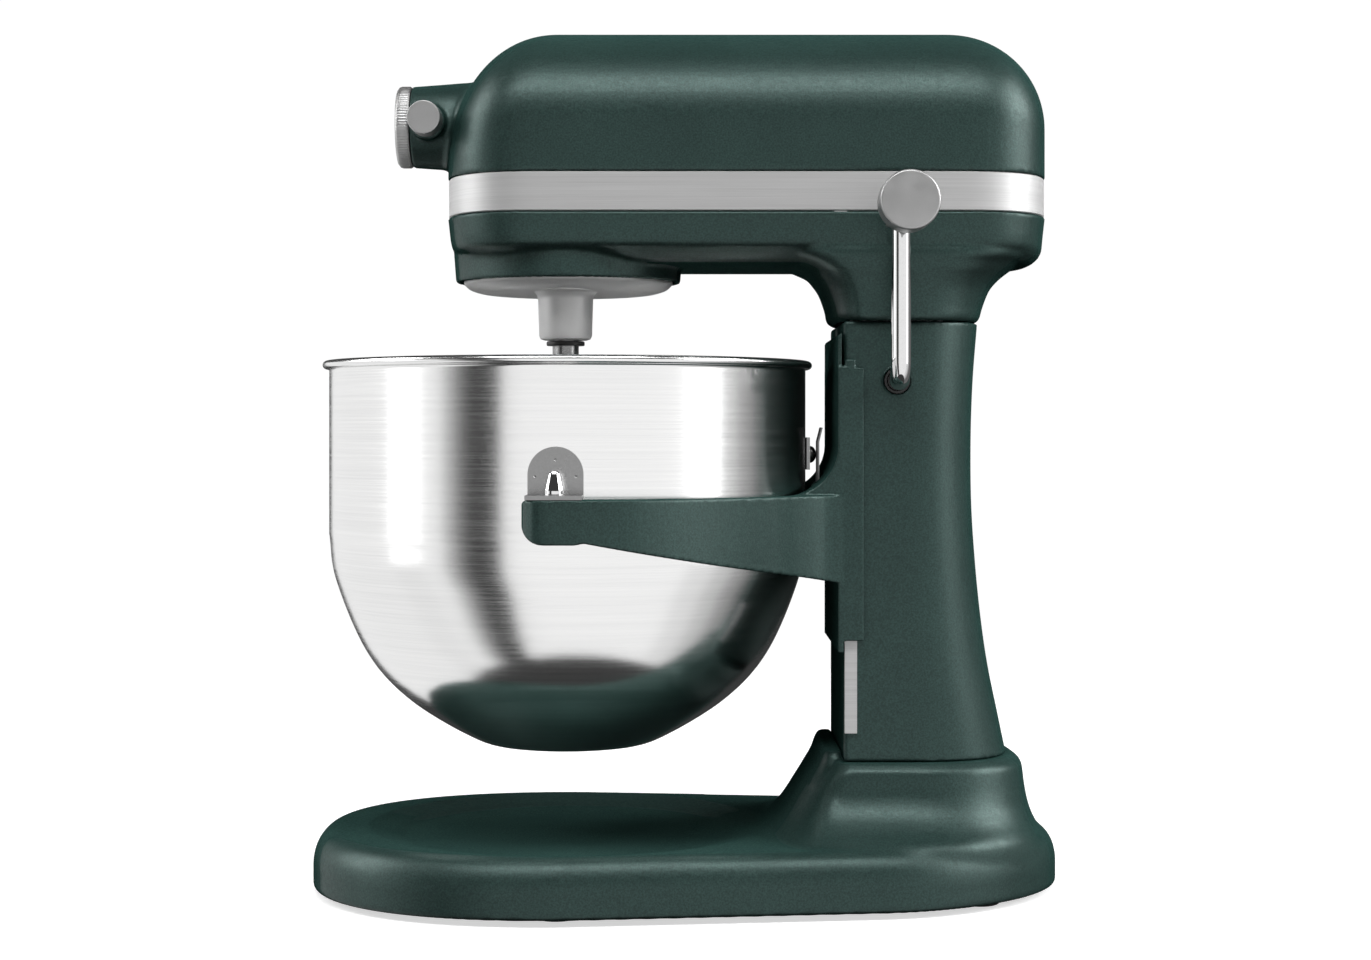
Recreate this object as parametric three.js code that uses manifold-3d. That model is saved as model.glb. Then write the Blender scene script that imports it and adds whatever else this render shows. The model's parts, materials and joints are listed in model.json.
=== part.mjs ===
// Bowl-lift stand mixer, built as the separate pieces that it comes apart into.
// Millimetres. +Z is up, the bowl side faces -X, and the plane y = 0 divides the machine in half.
// The lift lever is on the -Y side and the speed lever on the +Y side.
import * as THREE from "three";
import { mergeVertices } from "three/addons/utils/BufferGeometryUtils.js";
import Module from "manifold-3d";

const wasm = await Module();
wasm.setup();

// Driving dimensions.
const GAP = 0.3; // between two touching pieces
const BASE_HALF_LENGTH = 184.2;
const BASE_HALF_WIDTH = 110;
const BASE_BOTTOM = 3; // the casting's rim stands this far off the table, on its feet
const BASE_FLANK_TOP = 14;
const BASE_CREST = 31;
const BASE_ROUND = 11;
const COLLAR_TOP = 67.7;
const BOWL_X = -58.5; // the bowl's and the planetary's common axis
const BOWL_RADIUS = 118.3;
const BOWL_SHEET = 1.2;
const BOWL_RIM = 260.7;
const COLUMN_FRONT = 75.7;
const COLUMN_HALF_WIDTH = 52.5;
const COLUMN_BOTTOM = COLLAR_TOP + GAP;
const NECK_BOTTOM = 279;
const HEAD_FRONT = -117.5;
const HEAD_REAR = 177.5;
const HEAD_HALF_WIDTH = 62.5;
const HEAD_FLOOR = 307.3;
const BAND_BOTTOM = 330.4;
const BAND_TOP = 349.4;
const SHOULDER = 374; // the flanks turn over above this height
const BROW = 352; // the front end turns back above this height
const CROWN_FRONT = -60;
const CROWN_REAR = 127.5;
const HEAD_CORNER = 48; // length of the rounded end of each plan of the head
const HEAD_TOP = 423;
const WALL = 3;
const SKIRT_RADIUS = 57;
const SKIRT_BOTTOM = 299.7;
const BEATER_OFFSET = 28; // beater shaft from the planetary axis, toward -Y
const HUB_Z = 377.8;
const CARRIAGE_FRONT = 72.8;
const CARRIAGE_BACK = 75.3;
const CARRIAGE_HALF_WIDTH = 57;
const ARM_TOP = 195.3;
const ARM_REACH = 143.5;
const PIN_Y = 130;
const LEVER_X = 101.3;
const LEVER_Z = 250.3;
const LEVER_Y = -72;
const CRANK_RADIUS = 19.6;
const GEAR_MODULE = 8 / 3;
const RING_TEETH = 33;
const BEATER_TEETH = 12;
const CENTRE_TEETH = 33;
const STEP_TEETH = 9;
const WHEEL_TEETH = 21;
const BEVEL_TEETH = 12;
const STEP_Y = -18; // intermediate shaft, to one side of the planetary axis
const STEP_REACH = ((CENTRE_TEETH + STEP_TEETH) * GEAR_MODULE) / 2;
const STEP_X = BOWL_X + Math.sqrt(STEP_REACH ** 2 - STEP_Y ** 2);
const WORM_RADIUS = 8;
const MOTOR_Y = STEP_Y + (WHEEL_TEETH * GEAR_MODULE) / 2 + WORM_RADIUS + 2.4;
const MOTOR_Z = 343;

const paint = (color, roughness, metalness) =>
  new THREE.MeshStandardMaterial({ color, roughness, metalness });
const GREEN = paint(0x2c423e, 0.62, 0.2);
const BAND = paint(0xb9b9b7, 0.38, 0.9);
const SATIN = paint(0x969696, 0.45, 0.7);
const CHROME = paint(0xd8d8d8, 0.12, 1);
const STAINLESS = paint(0xc4c4c2, 0.28, 1);
const STEEL = paint(0x8d8f92, 0.4, 0.9);
const BRONZE = paint(0xa77b45, 0.4, 0.9);
const RUBBER = paint(0x1b1b1c, 0.9, 0);
const PLASTIC = paint(0x232425, 0.55, 0);
const COPPER = paint(0xa5602f, 0.4, 0.8);
const BOARD = paint(0x1e5a3a, 0.6, 0);

const mixer = new THREE.Group();

// ---- Solids from three.js shapes ----

const asVectors = (points) => points.map(([x, y]) => new THREE.Vector2(x, y));

function solidFrom(geometry) {
  const bare = geometry.clone();
  bare.deleteAttribute("normal");
  bare.deleteAttribute("uv");
  const merged = mergeVertices(bare, 1e-4);
  const corners = [];
  for (let i = 0; i < merged.index.count; i += 3) {
    const [a, b, c] = merged.index.array.slice(i, i + 3);
    if (a !== b && b !== c && a !== c) corners.push(a, b, c);
  }
  const build = (order) =>
    new wasm.Manifold(
      new wasm.Mesh({
        numProp: 3,
        vertProperties: new Float32Array(merged.attributes.position.array),
        triVerts: new Uint32Array(order),
      }),
    );
  const solid = build(corners);
  return solid.volume() > 0 ? solid : build(corners.reverse());
}

function add(name, solid, material) {
  const { vertProperties, triVerts } = solid.getMesh();
  const geometry = new THREE.BufferGeometry();
  geometry.setAttribute("position", new THREE.BufferAttribute(vertProperties, 3));
  geometry.setIndex(new THREE.BufferAttribute(triVerts, 1));
  geometry.computeVertexNormals();
  const mesh = new THREE.Mesh(geometry, material);
  mesh.name = name;
  mixer.add(mesh);
}

// A turned piece about a vertical axis. The profile holds [radius, z] pairs.
function turned(profile, x, y, segments) {
  const points = profile.map(([r, z]) => new THREE.Vector2(r, z));
  const geometry = new THREE.LatheGeometry(points, segments);
  geometry.rotateX(Math.PI / 2);
  geometry.translate(x, y, 0);
  return solidFrom(geometry);
}

// A turned piece about an axis along X or Y. The profile holds [radius, distance along the axis] pairs.
function turnedAlong(axis, profile, u, z, segments) {
  const points = profile.map(([r, along]) => new THREE.Vector2(r, along));
  const geometry = new THREE.LatheGeometry(points, segments);
  if (axis === "x") {
    geometry.rotateZ(-Math.PI / 2);
    geometry.translate(0, u, z);
  } else {
    geometry.translate(u, 0, z);
  }
  return solidFrom(geometry);
}

const drum = (r, low, high) => [[0, low], [r, low], [r, high], [0, high]];
const tube = (inner, outer, low, high) => [
  [inner, low],
  [outer, low],
  [outer, high],
  [inner, high],
  [inner, low],
];
const post = (x, y, r, low, high, segments = 16) => turned(drum(r, low, high), x, y, segments);
const rodX = (y, z, r, low, high, segments = 16) => turnedAlong("x", drum(r, low, high), y, z, segments);
const rodY = (x, z, r, low, high, segments = 16) => turnedAlong("y", drum(r, low, high), x, z, segments);

function block(low, high) {
  const [dx, dy, dz] = high.map((value, i) => value - low[i]);
  const geometry = new THREE.BoxGeometry(dx, dy, dz);
  geometry.translate(low[0] + dx / 2, low[1] + dy / 2, low[2] + dz / 2);
  return solidFrom(geometry);
}

// An outline of [x, y] pairs raised from one height to another.
function plate(outline, low, high) {
  const shape = new THREE.Shape(asVectors(outline));
  const geometry = new THREE.ExtrudeGeometry(shape, { depth: high - low, bevelEnabled: false });
  geometry.translate(0, 0, low);
  return solidFrom(geometry);
}

// A side view of [x, z] pairs carried across from one y to another.
function slab(outline, low, high) {
  const shape = new THREE.Shape(asVectors(outline));
  const geometry = new THREE.ExtrudeGeometry(shape, { depth: high - low, bevelEnabled: false });
  geometry.rotateX(Math.PI / 2);
  geometry.translate(0, high, 0);
  return solidFrom(geometry);
}

// A round or flat bar swept along a curve.
function swept(curve, section, steps) {
  const shape = new THREE.Shape(asVectors(section));
  return solidFrom(new THREE.ExtrudeGeometry(shape, { steps, bevelEnabled: false, extrudePath: curve }));
}

const circle = (r, count) =>
  Array.from({ length: count }, (_, i) => {
    const angle = (i * 2 * Math.PI) / count;
    return [r * Math.cos(angle), r * Math.sin(angle)];
  });

const capOf = (points) => THREE.ShapeUtils.triangulateShape(asVectors(points), []);

// A skin through level rings of equal length, closed by a flat cap at each end.
function lofted(rings) {
  const count = rings[0].points.length;
  const positions = rings.flatMap(({ z, points }) => points.flatMap(([x, y]) => [x, y, z]));
  const index = [];
  for (let level = 0; level < rings.length - 1; level++) {
    for (let i = 0; i < count; i++) {
      const a = level * count + i;
      const b = level * count + ((i + 1) % count);
      index.push(a, b, b + count, a, b + count, a + count);
    }
  }
  const top = (rings.length - 1) * count;
  for (const [a, b, c] of capOf(rings[0].points)) index.push(a, c, b);
  for (const [a, b, c] of capOf(rings[rings.length - 1].points)) index.push(top + a, top + b, top + c);
  const geometry = new THREE.BufferGeometry();
  geometry.setAttribute("position", new THREE.Float32BufferAttribute(positions, 3));
  geometry.setIndex(index);
  return solidFrom(geometry);
}

// A plan with straight sides and an end of superellipse form at the front and the rear.
function plan({ front, rear, frontCorner, rearCorner, halfWidth, squareness }, steps = 6) {
  const power = 2 / squareness;
  const points = [];
  const quarter = (first, last) => {
    for (let i = first; i <= last; i++) {
      const angle = (i * Math.PI) / (2 * steps);
      const isRear = first < steps || first > 3 * steps - 1;
      const corner = isRear ? rearCorner : frontCorner;
      const reach = isRear ? rear - rearCorner : frontCorner - front;
      const along = Math.sign(Math.cos(angle)) * Math.abs(Math.cos(angle)) ** power;
      const across = Math.sign(Math.sin(angle)) * Math.abs(Math.sin(angle)) ** power;
      points.push([corner + reach * along, halfWidth * across]);
    }
  };
  quarter(0, steps);
  quarter(steps, 2 * steps);
  quarter(2 * steps + 1, 3 * steps);
  quarter(3 * steps, 4 * steps - 1);
  return points;
}

const levels = (rows) =>
  lofted(
    rows.map(([z, front, rear, halfWidth, frontCorner, rearCorner, squareness]) => ({
      z,
      points: plan({ front, rear, frontCorner, rearCorner, halfWidth, squareness }),
    })),
  );

// Gear teeth as trapezia with backlash. A positive side points outwards, a negative one inwards.
function toothed(teeth, phase, side = 1, size = 1) {
  const pitch = (2 * Math.PI) / teeth;
  const pitchRadius = (teeth * GEAR_MODULE) / 2;
  const root = (pitchRadius - side * 1.1 * GEAR_MODULE) * size;
  const tip = (pitchRadius + side * 0.8 * GEAR_MODULE) * size;
  const points = [];
  for (let i = 0; i < teeth; i++) {
    const middle = phase + i * pitch;
    const corners = [[root, -0.3], [tip, -0.12], [tip, 0.12], [root, 0.3]];
    for (const [r, part] of corners) {
      const angle = middle + part * pitch;
      points.push([r * Math.cos(angle), r * Math.sin(angle)]);
    }
  }
  return points;
}

// ---- Base ----

function baseHalfWidthAt(x) {
  const frontCentre = -60;
  const rearCentre = 92;
  if (x < frontCentre) {
    const part = (frontCentre - x) / (BASE_HALF_LENGTH + frontCentre);
    return BASE_HALF_WIDTH * (1 - part ** 2.3) ** (1 / 2.3);
  }
  const taper = BASE_HALF_WIDTH - 0.115 * (x - frontCentre);
  const part = Math.max(0, (x - rearCentre) / (BASE_HALF_LENGTH - rearCentre));
  return taper * Math.sqrt(1 - part ** 2);
}

// The outline's end points stand half a step round from the tip, so x is stretched to reach the full length.
function baseOutline(inset) {
  const count = 38;
  const furthestX = BASE_HALF_LENGTH * Math.cos(Math.PI / count);
  return Array.from({ length: count }, (_, i) => {
    const angle = ((i + 0.5) * 2 * Math.PI) / count;
    const x = BASE_HALF_LENGTH * Math.cos(angle);
    const y = Math.sign(Math.sin(angle)) * baseHalfWidthAt(x);
    return [(x * (BASE_HALF_LENGTH - inset)) / furthestX, (y * (BASE_HALF_WIDTH - inset)) / BASE_HALF_WIDTH];
  });
}

function baseShoulder(part) {
  const angle = (part * Math.PI) / 2;
  return {
    z: BASE_FLANK_TOP + (BASE_CREST - BASE_FLANK_TOP) * Math.sin(angle),
    points: baseOutline(BASE_ROUND * (1 - Math.cos(angle))),
  };
}

const FEET = [[-150, 0], [-60, -85], [-60, 85], [140, -50], [140, 50]];
const BOLTS = [[96, -34], [96, 34], [140, -24], [140, 24]];
const CAVITY_TOP = 60;
const CAST_WALL = 4;

// The round dish under the bowl, cut down into the tray. A drop gives the parallel surface below it.
function dishRoom(drop) {
  const tray = [[0, 25], [55, 25.3], [78, 26.6], [84, 28], [92, 29.4], [100, 31.3], [106, 34]];
  const profile = [...tray, [106, 60], [0, 60]];
  return turned(profile.map(([r, z]) => [r, z - drop]), BOWL_X, 0, 32);
}

// The open underside: a thin-walled room below the tray and up into the pedestal, round the feet's bosses.
function baseHollow() {
  const underTray = lofted([
    { z: 0, points: baseOutline(5) },
    { z: BASE_FLANK_TOP, points: baseOutline(4.5) },
    { z: 22, points: baseOutline(8.5) },
    { z: BASE_CREST - CAST_WALL, points: baseOutline(15) },
  ]).subtract(dishRoom(CAST_WALL));
  const underPedestal = levels([
    [1, 42, 172, 76, 66, 92, 2.3],
    [26, 43, 172, 76, 66, 92, 2.3],
    [31, 47, 169, 74, 68, 93, 2.3],
    [37, 53, 166, 67.5, 72, 95, 2.3],
    [44, 58, 164, 61, 78, 98, 2.4],
    [52, 66, 162.5, 57, 84, 100, 2.5],
    [CAVITY_TOP, 76, 160, 54.5, 86, 100, 2.5],
  ]);
  let hollow = underTray.add(underPedestal);
  for (const [x, y] of FEET) hollow = hollow.subtract(post(x, y, 14, 6, 80));
  return hollow;
}

function baseCasting() {
  const edge = [
    { z: BASE_BOTTOM, points: baseOutline(1.5) },
    { z: BASE_BOTTOM + 2, points: baseOutline(0) },
    { z: BASE_FLANK_TOP, points: baseOutline(0) },
  ];
  const tray = lofted([...edge, ...[0.25, 0.5, 0.75, 1].map(baseShoulder)]);
  const pedestal = levels([
    [16, 20, 182.5, 82, 60, 92, 2.1],
    [24, 28, 179.8, 84, 60, 92, 2.1],
    [31, 38, 175.3, 83, 64, 93, 2.2],
    [37, 45, 172, 74, 68, 95, 2.3],
    [44, 50, 169.6, 66.5, 72, 98, 2.4],
    [52, 55, 168, 61.8, 76, 100, 2.5],
    [60, 60.5, 167, 60, 78, 100, 2.5],
    [64, 64, 165.8, 59, 80, 100, 2.5],
    [COLLAR_TOP, 66.5, 161, 55.5, 80, 100, 2.5],
  ]);
  const lip = levels([
    [56, 58, 76, 52, 68, 74, 2.6],
    [64, 62.8, 76, 49, 71, 74, 2.6],
    [70, 65.2, 76, 46, 71, 74, 2.6],
    [72, 66.8, 76, 44, 71, 74, 2.6],
  ]).subtract(block([COLUMN_FRONT - GAP, -60, COLLAR_TOP], [90, 60, 90]));
  let base = tray.subtract(dishRoom(0)).add(pedestal).add(lip).subtract(baseHollow());
  for (const [x, y] of FEET) base = base.subtract(post(x, y, 11.5, -1, 6));
  for (const [x, y] of BOLTS) base = base.subtract(post(x, y, 4.2, 50, 80, 12));
  return base;
}

add("base_casting", baseCasting(), GREEN);
FEET.forEach(([x, y], i) => add("rubber_foot_" + (i + 1), post(x, y, 11, 0, 5.7), RUBBER));

function columnBolt(x, y) {
  const head = post(x, y, 6.5, CAVITY_TOP - 8, CAVITY_TOP - GAP, 6);
  return head.add(post(x, y, 3.8, CAVITY_TOP - 4, 80, 12));
}

BOLTS.forEach(([x, y], i) => add("column_bolt_" + (i + 1), columnBolt(x, y), STEEL));

// ---- Column ----

const COLUMN_REAR = [
  [COLUMN_BOTTOM, 158.7],
  [87, 154.7],
  [111, 149.7],
  [134, 146.3],
  [160, 143.6],
  [190, 141.6],
  [222, 141.3],
  [251, 142.3],
  [NECK_BOTTOM - GAP, 144.5],
];

function columnCasting() {
  const rows = COLUMN_REAR.map(([z, rear]) => [z, COLUMN_FRONT, rear, COLUMN_HALF_WIDTH, 84, 104, 2.6]);
  const outer = levels(rows);
  const slideFace = block(
    [COLUMN_FRONT, -COLUMN_HALF_WIDTH, COLUMN_BOTTOM],
    [84, COLUMN_HALF_WIDTH, NECK_BOTTOM - GAP],
  );
  const inner = levels([
    [74, 79.5, 153.5, 49, 88, 104, 2.6],
    [87, 79.5, 151.2, 49, 88, 104, 2.6],
    [111, 79.5, 146.2, 49, 88, 104, 2.6],
    [134, 79.5, 142.8, 49, 88, 104, 2.6],
    [160, 79.5, 140.1, 49, 88, 104, 2.6],
    [205, 79.5, 137.8, 49, 88, 104, 2.6],
    [300, 79.5, 140, 49, 88, 104, 2.6],
  ]);
  const slot = block([60, -9, 205], [90, 9, 300]);
  let column = outer.add(slideFace).subtract(inner).subtract(slot);
  for (const [x, y] of BOLTS) column = column.subtract(post(x, y, 4.2, 60, 90, 12));
  return column.subtract(rodY(LEVER_X, LEVER_Z, 6.5, -60, -40));
}

add("column_casting", columnCasting(), GREEN);

function guideStrip(side) {
  const near = side * (COLUMN_HALF_WIDTH + GAP);
  const far = side * (COLUMN_HALF_WIDTH + 1.5);
  return block([76, Math.min(near, far), 81.8], [81.9, Math.max(near, far), 250]);
}

add("guide_strip_right", guideStrip(-1), BAND);
add("guide_strip_left", guideStrip(1), BAND);

const bush = turnedAlong("y", tube(5.1, 6.2, -52.2, -44), LEVER_X, LEVER_Z, 16);
add("lever_bush", bush, PLASTIC);

// ---- Head: lower housing, trim band, upper housing ----

const headPlan = (inset) => [
  HEAD_FRONT + inset,
  HEAD_REAR - inset,
  HEAD_HALF_WIDTH - inset,
  HEAD_FRONT + HEAD_CORNER,
  HEAD_REAR - HEAD_CORNER,
  2.6,
];

// The underside turns in further at the front and the flanks than at the rear.
function undersidePlan(inset, rearInset) {
  const [front, , halfWidth, frontCorner, rearCorner, squareness] = headPlan(inset);
  return [front, HEAD_REAR - rearInset, halfWidth, frontCorner + inset / 2, rearCorner, squareness];
}

function lowerHousing() {
  const shell = levels([
    [HEAD_FLOOR, ...undersidePlan(19.5, 10)],
    [308.9, ...undersidePlan(13, 5.5)],
    [311.2, ...undersidePlan(8.9, 3)],
    [313.1, ...undersidePlan(5.5, 2)],
    [314.6, ...undersidePlan(2.6, 1.6)],
    [317, ...undersidePlan(1.4, 1.4)],
    [BAND_BOTTOM, ...headPlan(0)],
  ]);
  const neck = levels([
    [NECK_BOTTOM, 74, 143, 55.5, 87, 104, 2.6],
    [280.5, 71.8, 144.8, 56.7, 86, 104, 2.6],
    [283.5, 70.6, 146, 57, 86, 104, 2.6],
    [287, 70, 147, 57.2, 86, 104, 2.6],
    [295, 67, 150.2, 58, 85, 106, 2.6],
    [300, 63.5, 154.3, 59, 83, 110, 2.6],
    [303.5, 60, 158.5, 60, 81, 114, 2.6],
    [307.3, 51, 164, 60.5, 78, 118, 2.6],
    [311, 42, 170.8, 61, 74, 124, 2.6],
    [316, 34, 173, 61, 70, 126, 2.6],
  ]);
  const skirt = turned(
    [[0, SKIRT_BOTTOM], [55.3, SKIRT_BOTTOM], [56.1, 301], [SKIRT_RADIUS, 315.5], [0, 315.5]],
    BOWL_X,
    0,
    36,
  );
  const headHollow = levels([
    [311.5, ...headPlan(17)],
    [314, ...headPlan(11)],
    [317, ...headPlan(6)],
    [321, ...headPlan(WALL)],
    [BAND_BOTTOM + 1, ...headPlan(WALL)],
  ]);
  const neckHollow = levels([
    [NECK_BOTTOM - 1, 75.5, 141.5, 53.3, 89, 104, 2.6],
    [295, 72, 146, 54.3, 89, 106, 2.6],
    [303.5, 66, 153.5, 55.8, 86, 114, 2.6],
    [314, 50, 166, 57.5, 76, 122, 2.6],
  ]);
  const gearWell = turned(drum(53.6, 290, 309.4), BOWL_X, 0, 36);
  const bearingSeat = post(BOWL_X, 0, 9.3, 300, 320);
  const cordHole = rodX(34, 321, 6.6, 165, 190);
  return shell
    .add(neck)
    .add(skirt)
    .subtract(headHollow)
    .subtract(neckHollow)
    .subtract(gearWell)
    .subtract(bearingSeat)
    .subtract(cordHole);
}

add("lower_housing", lowerHousing(), GREEN);
add("cord_gland", turnedAlong("x", tube(3.6, 6.2, 168, 180.5), 34, 321, 16), RUBBER);

const SPEED_SLOT = { front: 65, rear: 119, bottom: 336.5, top: 343.5 };

function trimBand() {
  const low = BAND_BOTTOM + GAP;
  const outer = levels([[low, ...headPlan(0.4)], [BAND_TOP, ...headPlan(0.4)]]);
  const inner = levels([[low - 1, ...headPlan(2.9)], [BAND_TOP + 1, ...headPlan(2.9)]]);
  const slot = block([SPEED_SLOT.front, 50, SPEED_SLOT.bottom], [SPEED_SLOT.rear, 70, SPEED_SLOT.top]);
  return outer.subtract(inner).subtract(slot);
}

add("trim_band", trimBand(), BAND);

// One level of the upper housing: upright to the shoulder, then over in a quarter round.
function headLevel(z, inset) {
  const riseAbove = (start) => Math.min(1, Math.max(0, (z + inset - start) / (HEAD_TOP - start)));
  const side = (1 - riseAbove(SHOULDER) ** 2.1) ** (1 / 2.1);
  const tip = (1 - riseAbove(BROW) ** 2.1) ** (1 / 2.1);
  const rear = CROWN_REAR + (HEAD_REAR - CROWN_REAR) * Math.sqrt(1 - riseAbove(SHOULDER) ** 2) - inset;
  const front = CROWN_FRONT - (CROWN_FRONT - HEAD_FRONT) * tip + inset;
  const halfWidth = HEAD_HALF_WIDTH * side - inset;
  const frontCorner = front + HEAD_CORNER * Math.max(tip, 0.1);
  const rearCorner = rear - HEAD_CORNER * Math.max(side, 0.1);
  return [z, front, rear, halfWidth, frontCorner, rearCorner, 2.6];
}

function upperHousing() {
  const rises = [0.3, 0.52, 0.7, 0.84, 0.93, 0.98];
  const rising = rises.map((rise) => SHOULDER + rise * (HEAD_TOP - SHOULDER));
  const outerRows = [BAND_TOP + GAP, 362, SHOULDER, ...rising].map((z) => headLevel(z, 0));
  const crown = headLevel(HEAD_TOP - 0.1, 0);
  crown[0] = HEAD_TOP;
  const shell = levels([...outerRows, crown]);
  const hollow = levels([BAND_TOP - 1, SHOULDER, ...rising.slice(0, 5)].map((z) => headLevel(z, WALL)));
  const sleeveProfile = [[0, -136], [20.1, -136], [21.2, -121], [22.4, -106], [22.4, -100], [0, -100]];
  const sleeve = turnedAlong("x", sleeveProfile, 0, HUB_Z, 28);
  const boss = rodY(-126.5, HUB_Z, 9, -28, -12);
  const bore = rodX(0, HUB_Z, 16.4, -140, -60, 24);
  const screwHole = rodY(-126.5, HUB_Z, 3.5, -30, -10, 12);
  return shell.subtract(hollow).add(sleeve).add(boss).subtract(bore).subtract(screwHole);
}

add("upper_housing", upperHousing(), GREEN);

// ---- Attachment hub ----

const capProfile = [[0, -143.5], [16, -143.5], [19.4, -142.9], [20.3, -142], [20.3, -136.3], [0, -136.3]];
add("hub_cap", turnedAlong("x", capProfile, 0, HUB_Z, 32), SATIN);

function attachmentKnob() {
  const head = [[0, -42.3], [7.6, -42.3], [8.15, -41.7], [8.15, -29], [0, -29]];
  return turnedAlong("y", head, -126.5, HUB_Z, 20).add(rodY(-126.5, HUB_Z, 3, -30, -17.2, 12));
}

add("attachment_knob", attachmentKnob(), SATIN);

function hubSocket() {
  const body = rodX(0, HUB_Z, 15.9, -135.6, -104, 24).add(rodX(0, HUB_Z, 6, -105, -76.5, 16));
  return body.subtract(block([-140, -5, HUB_Z - 5], [-108, 5, HUB_Z + 5]));
}

add("hub_socket", hubSocket(), STEEL);

// A bevel gear between a large and a small end, as a stack of two tooth outlines along Z.
function bevel(phase, large, small) {
  const outline = (size) => toothed(BEVEL_TEETH, phase, 1, size);
  return lofted([
    { z: 0, points: outline(large) },
    { z: 5.8, points: outline(small) },
  ]);
}

const BEVEL_LARGE = 0.88;
const BEVEL_SMALL = 0.53;
const hubBevel = bevel(0, BEVEL_LARGE, BEVEL_SMALL).subtract(post(0, 0, 2.6, -1, 8, 12)).rotate([0, 90, 0]);
add("hub_bevel_gear", hubBevel.translate([-75.6, 0, HUB_Z]), STEEL);

// ---- Planetary drive ----

function planetaryHousing() {
  const disc = turned(
    [[0, 294], [40, 294], [45.5, 295], [50, 297], [52, 299.2], [52, 300.8], [0, 300.8]],
    BOWL_X,
    0,
    36,
  );
  const bossSide = [[10.6, 270.4], [13.2, 273], [13.2, 289], [15.5, 292.6], [19, 295]];
  const boss = turned([[0, 270.4], ...bossSide, [0, 295]], BOWL_X, -BEATER_OFFSET, 20);
  return disc
    .add(boss)
    .subtract(post(BOWL_X, -BEATER_OFFSET, 6.9, 260, 310, 20))
    .subtract(post(BOWL_X, 0, 5.4, 290, 310));
}

add("planetary_housing", planetaryHousing(), SATIN);
add("centre_shaft", post(BOWL_X, 0, 5, 295, 359.5), STEEL);

const centreGearPhase = Math.atan2(STEP_Y, STEP_X - BOWL_X);
const centreTeeth = plate(toothed(CENTRE_TEETH, centreGearPhase), 320, 330);
const centreGear = centreTeeth.subtract(post(0, 0, 5.4, 310, 340));
add("centre_gear", centreGear.translate([BOWL_X, 0, 0]), STEEL);

const hubPinion = bevel(Math.PI / BEVEL_TEETH, BEVEL_LARGE, BEVEL_SMALL).translate([BOWL_X, 0, 361]);
add("hub_drive_pinion", hubPinion.subtract(post(BOWL_X, 0, 2.6, 350, 370, 12)), STEEL);

const ringTeeth = plate(toothed(RING_TEETH, -Math.PI / 2, -1), 290, 320);
const ringGear = post(0, 0, 53, 301.5, 309, 36).subtract(ringTeeth);
add("ring_gear", ringGear.translate([BOWL_X, 0, 0]), STEEL);

function beaterShaft() {
  const profile = [[0, 226], [5.6, 226], [6.4, 227.5], [6.4, 309], [0, 309]];
  const shaft = turned(profile, BOWL_X, -BEATER_OFFSET, 16);
  return shaft.add(rodX(-BEATER_OFFSET, 238, 2.3, BOWL_X - 10.5, BOWL_X + 10.5, 12));
}

add("beater_shaft", beaterShaft(), CHROME);
add("shaft_collar", turned(tube(6.7, 9.3, 267.7, 269.9), BOWL_X, -BEATER_OFFSET, 20), PLASTIC);

const pinionPhase = -Math.PI / 2 + Math.PI / BEATER_TEETH;
const beaterTeeth = plate(toothed(BEATER_TEETH, pinionPhase), 302, 308.4);
const beaterPinion = beaterTeeth.subtract(post(0, 0, 6.7, 300, 310));
add("beater_pinion", beaterPinion.translate([BOWL_X, -BEATER_OFFSET, 0]), STEEL);

add("planetary_bearing", turned(tube(5.3, 8.9, 309.6, 315), BOWL_X, 0, 16), BRONZE);

const PLATE_LOW = 331;
const PLATE_HIGH = 334.6;

function gearboxPlate() {
  const outline = [[-104, -40], [-96, -52], [20, -52], [34, -40], [34, 40], [20, 52], [-96, 52], [-104, 40]];
  return plate(outline, PLATE_LOW, PLATE_HIGH)
    .subtract(post(BOWL_X, 0, 9.3, 330, 340))
    .subtract(post(STEP_X, STEP_Y, 8.3, 330, 340));
}

add("gearbox_plate", gearboxPlate(), STEEL);
add("centre_bearing", turned(tube(5.3, 8.9, PLATE_LOW, PLATE_HIGH), BOWL_X, 0, 16), BRONZE);
add("step_bearing", turned(tube(4.3, 7.9, PLATE_LOW, PLATE_HIGH), STEP_X, STEP_Y, 16), BRONZE);

add("step_shaft", post(STEP_X, STEP_Y, 4, 316, 352), STEEL);
const stepPhase = centreGearPhase + Math.PI + Math.PI / STEP_TEETH;
const stepPinion = plate(toothed(STEP_TEETH, stepPhase), 319.5, 330.5).subtract(post(0, 0, 4.3, 310, 340));
add("step_pinion", stepPinion.translate([STEP_X, STEP_Y, 0]), STEEL);
const wormWheel = plate(toothed(WHEEL_TEETH, 0), 338, 348).subtract(post(0, 0, 4.3, 330, 350));
add("worm_wheel", wormWheel.translate([STEP_X, STEP_Y, 0]), BRONZE);

// ---- Motor ----

// A four-start worm, as a lobed section turned a little at each step along its length.
function wormScrew(low, high) {
  const slices = 12;
  const starts = 4;
  const rings = Array.from({ length: slices + 1 }, (_, i) => {
    const points = Array.from({ length: 12 }, (_unused, j) => {
      const angle = (j * 2 * Math.PI) / 12;
      const r = WORM_RADIUS - 1 + Math.cos(starts * (angle - (i * Math.PI) / 12));
      return [r * Math.cos(angle), r * Math.sin(angle)];
    });
    return { z: low + ((high - low) * i) / slices, points };
  });
  return lofted(rings).rotate([0, 90, 0]).translate([0, MOTOR_Y, MOTOR_Z]);
}

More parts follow.
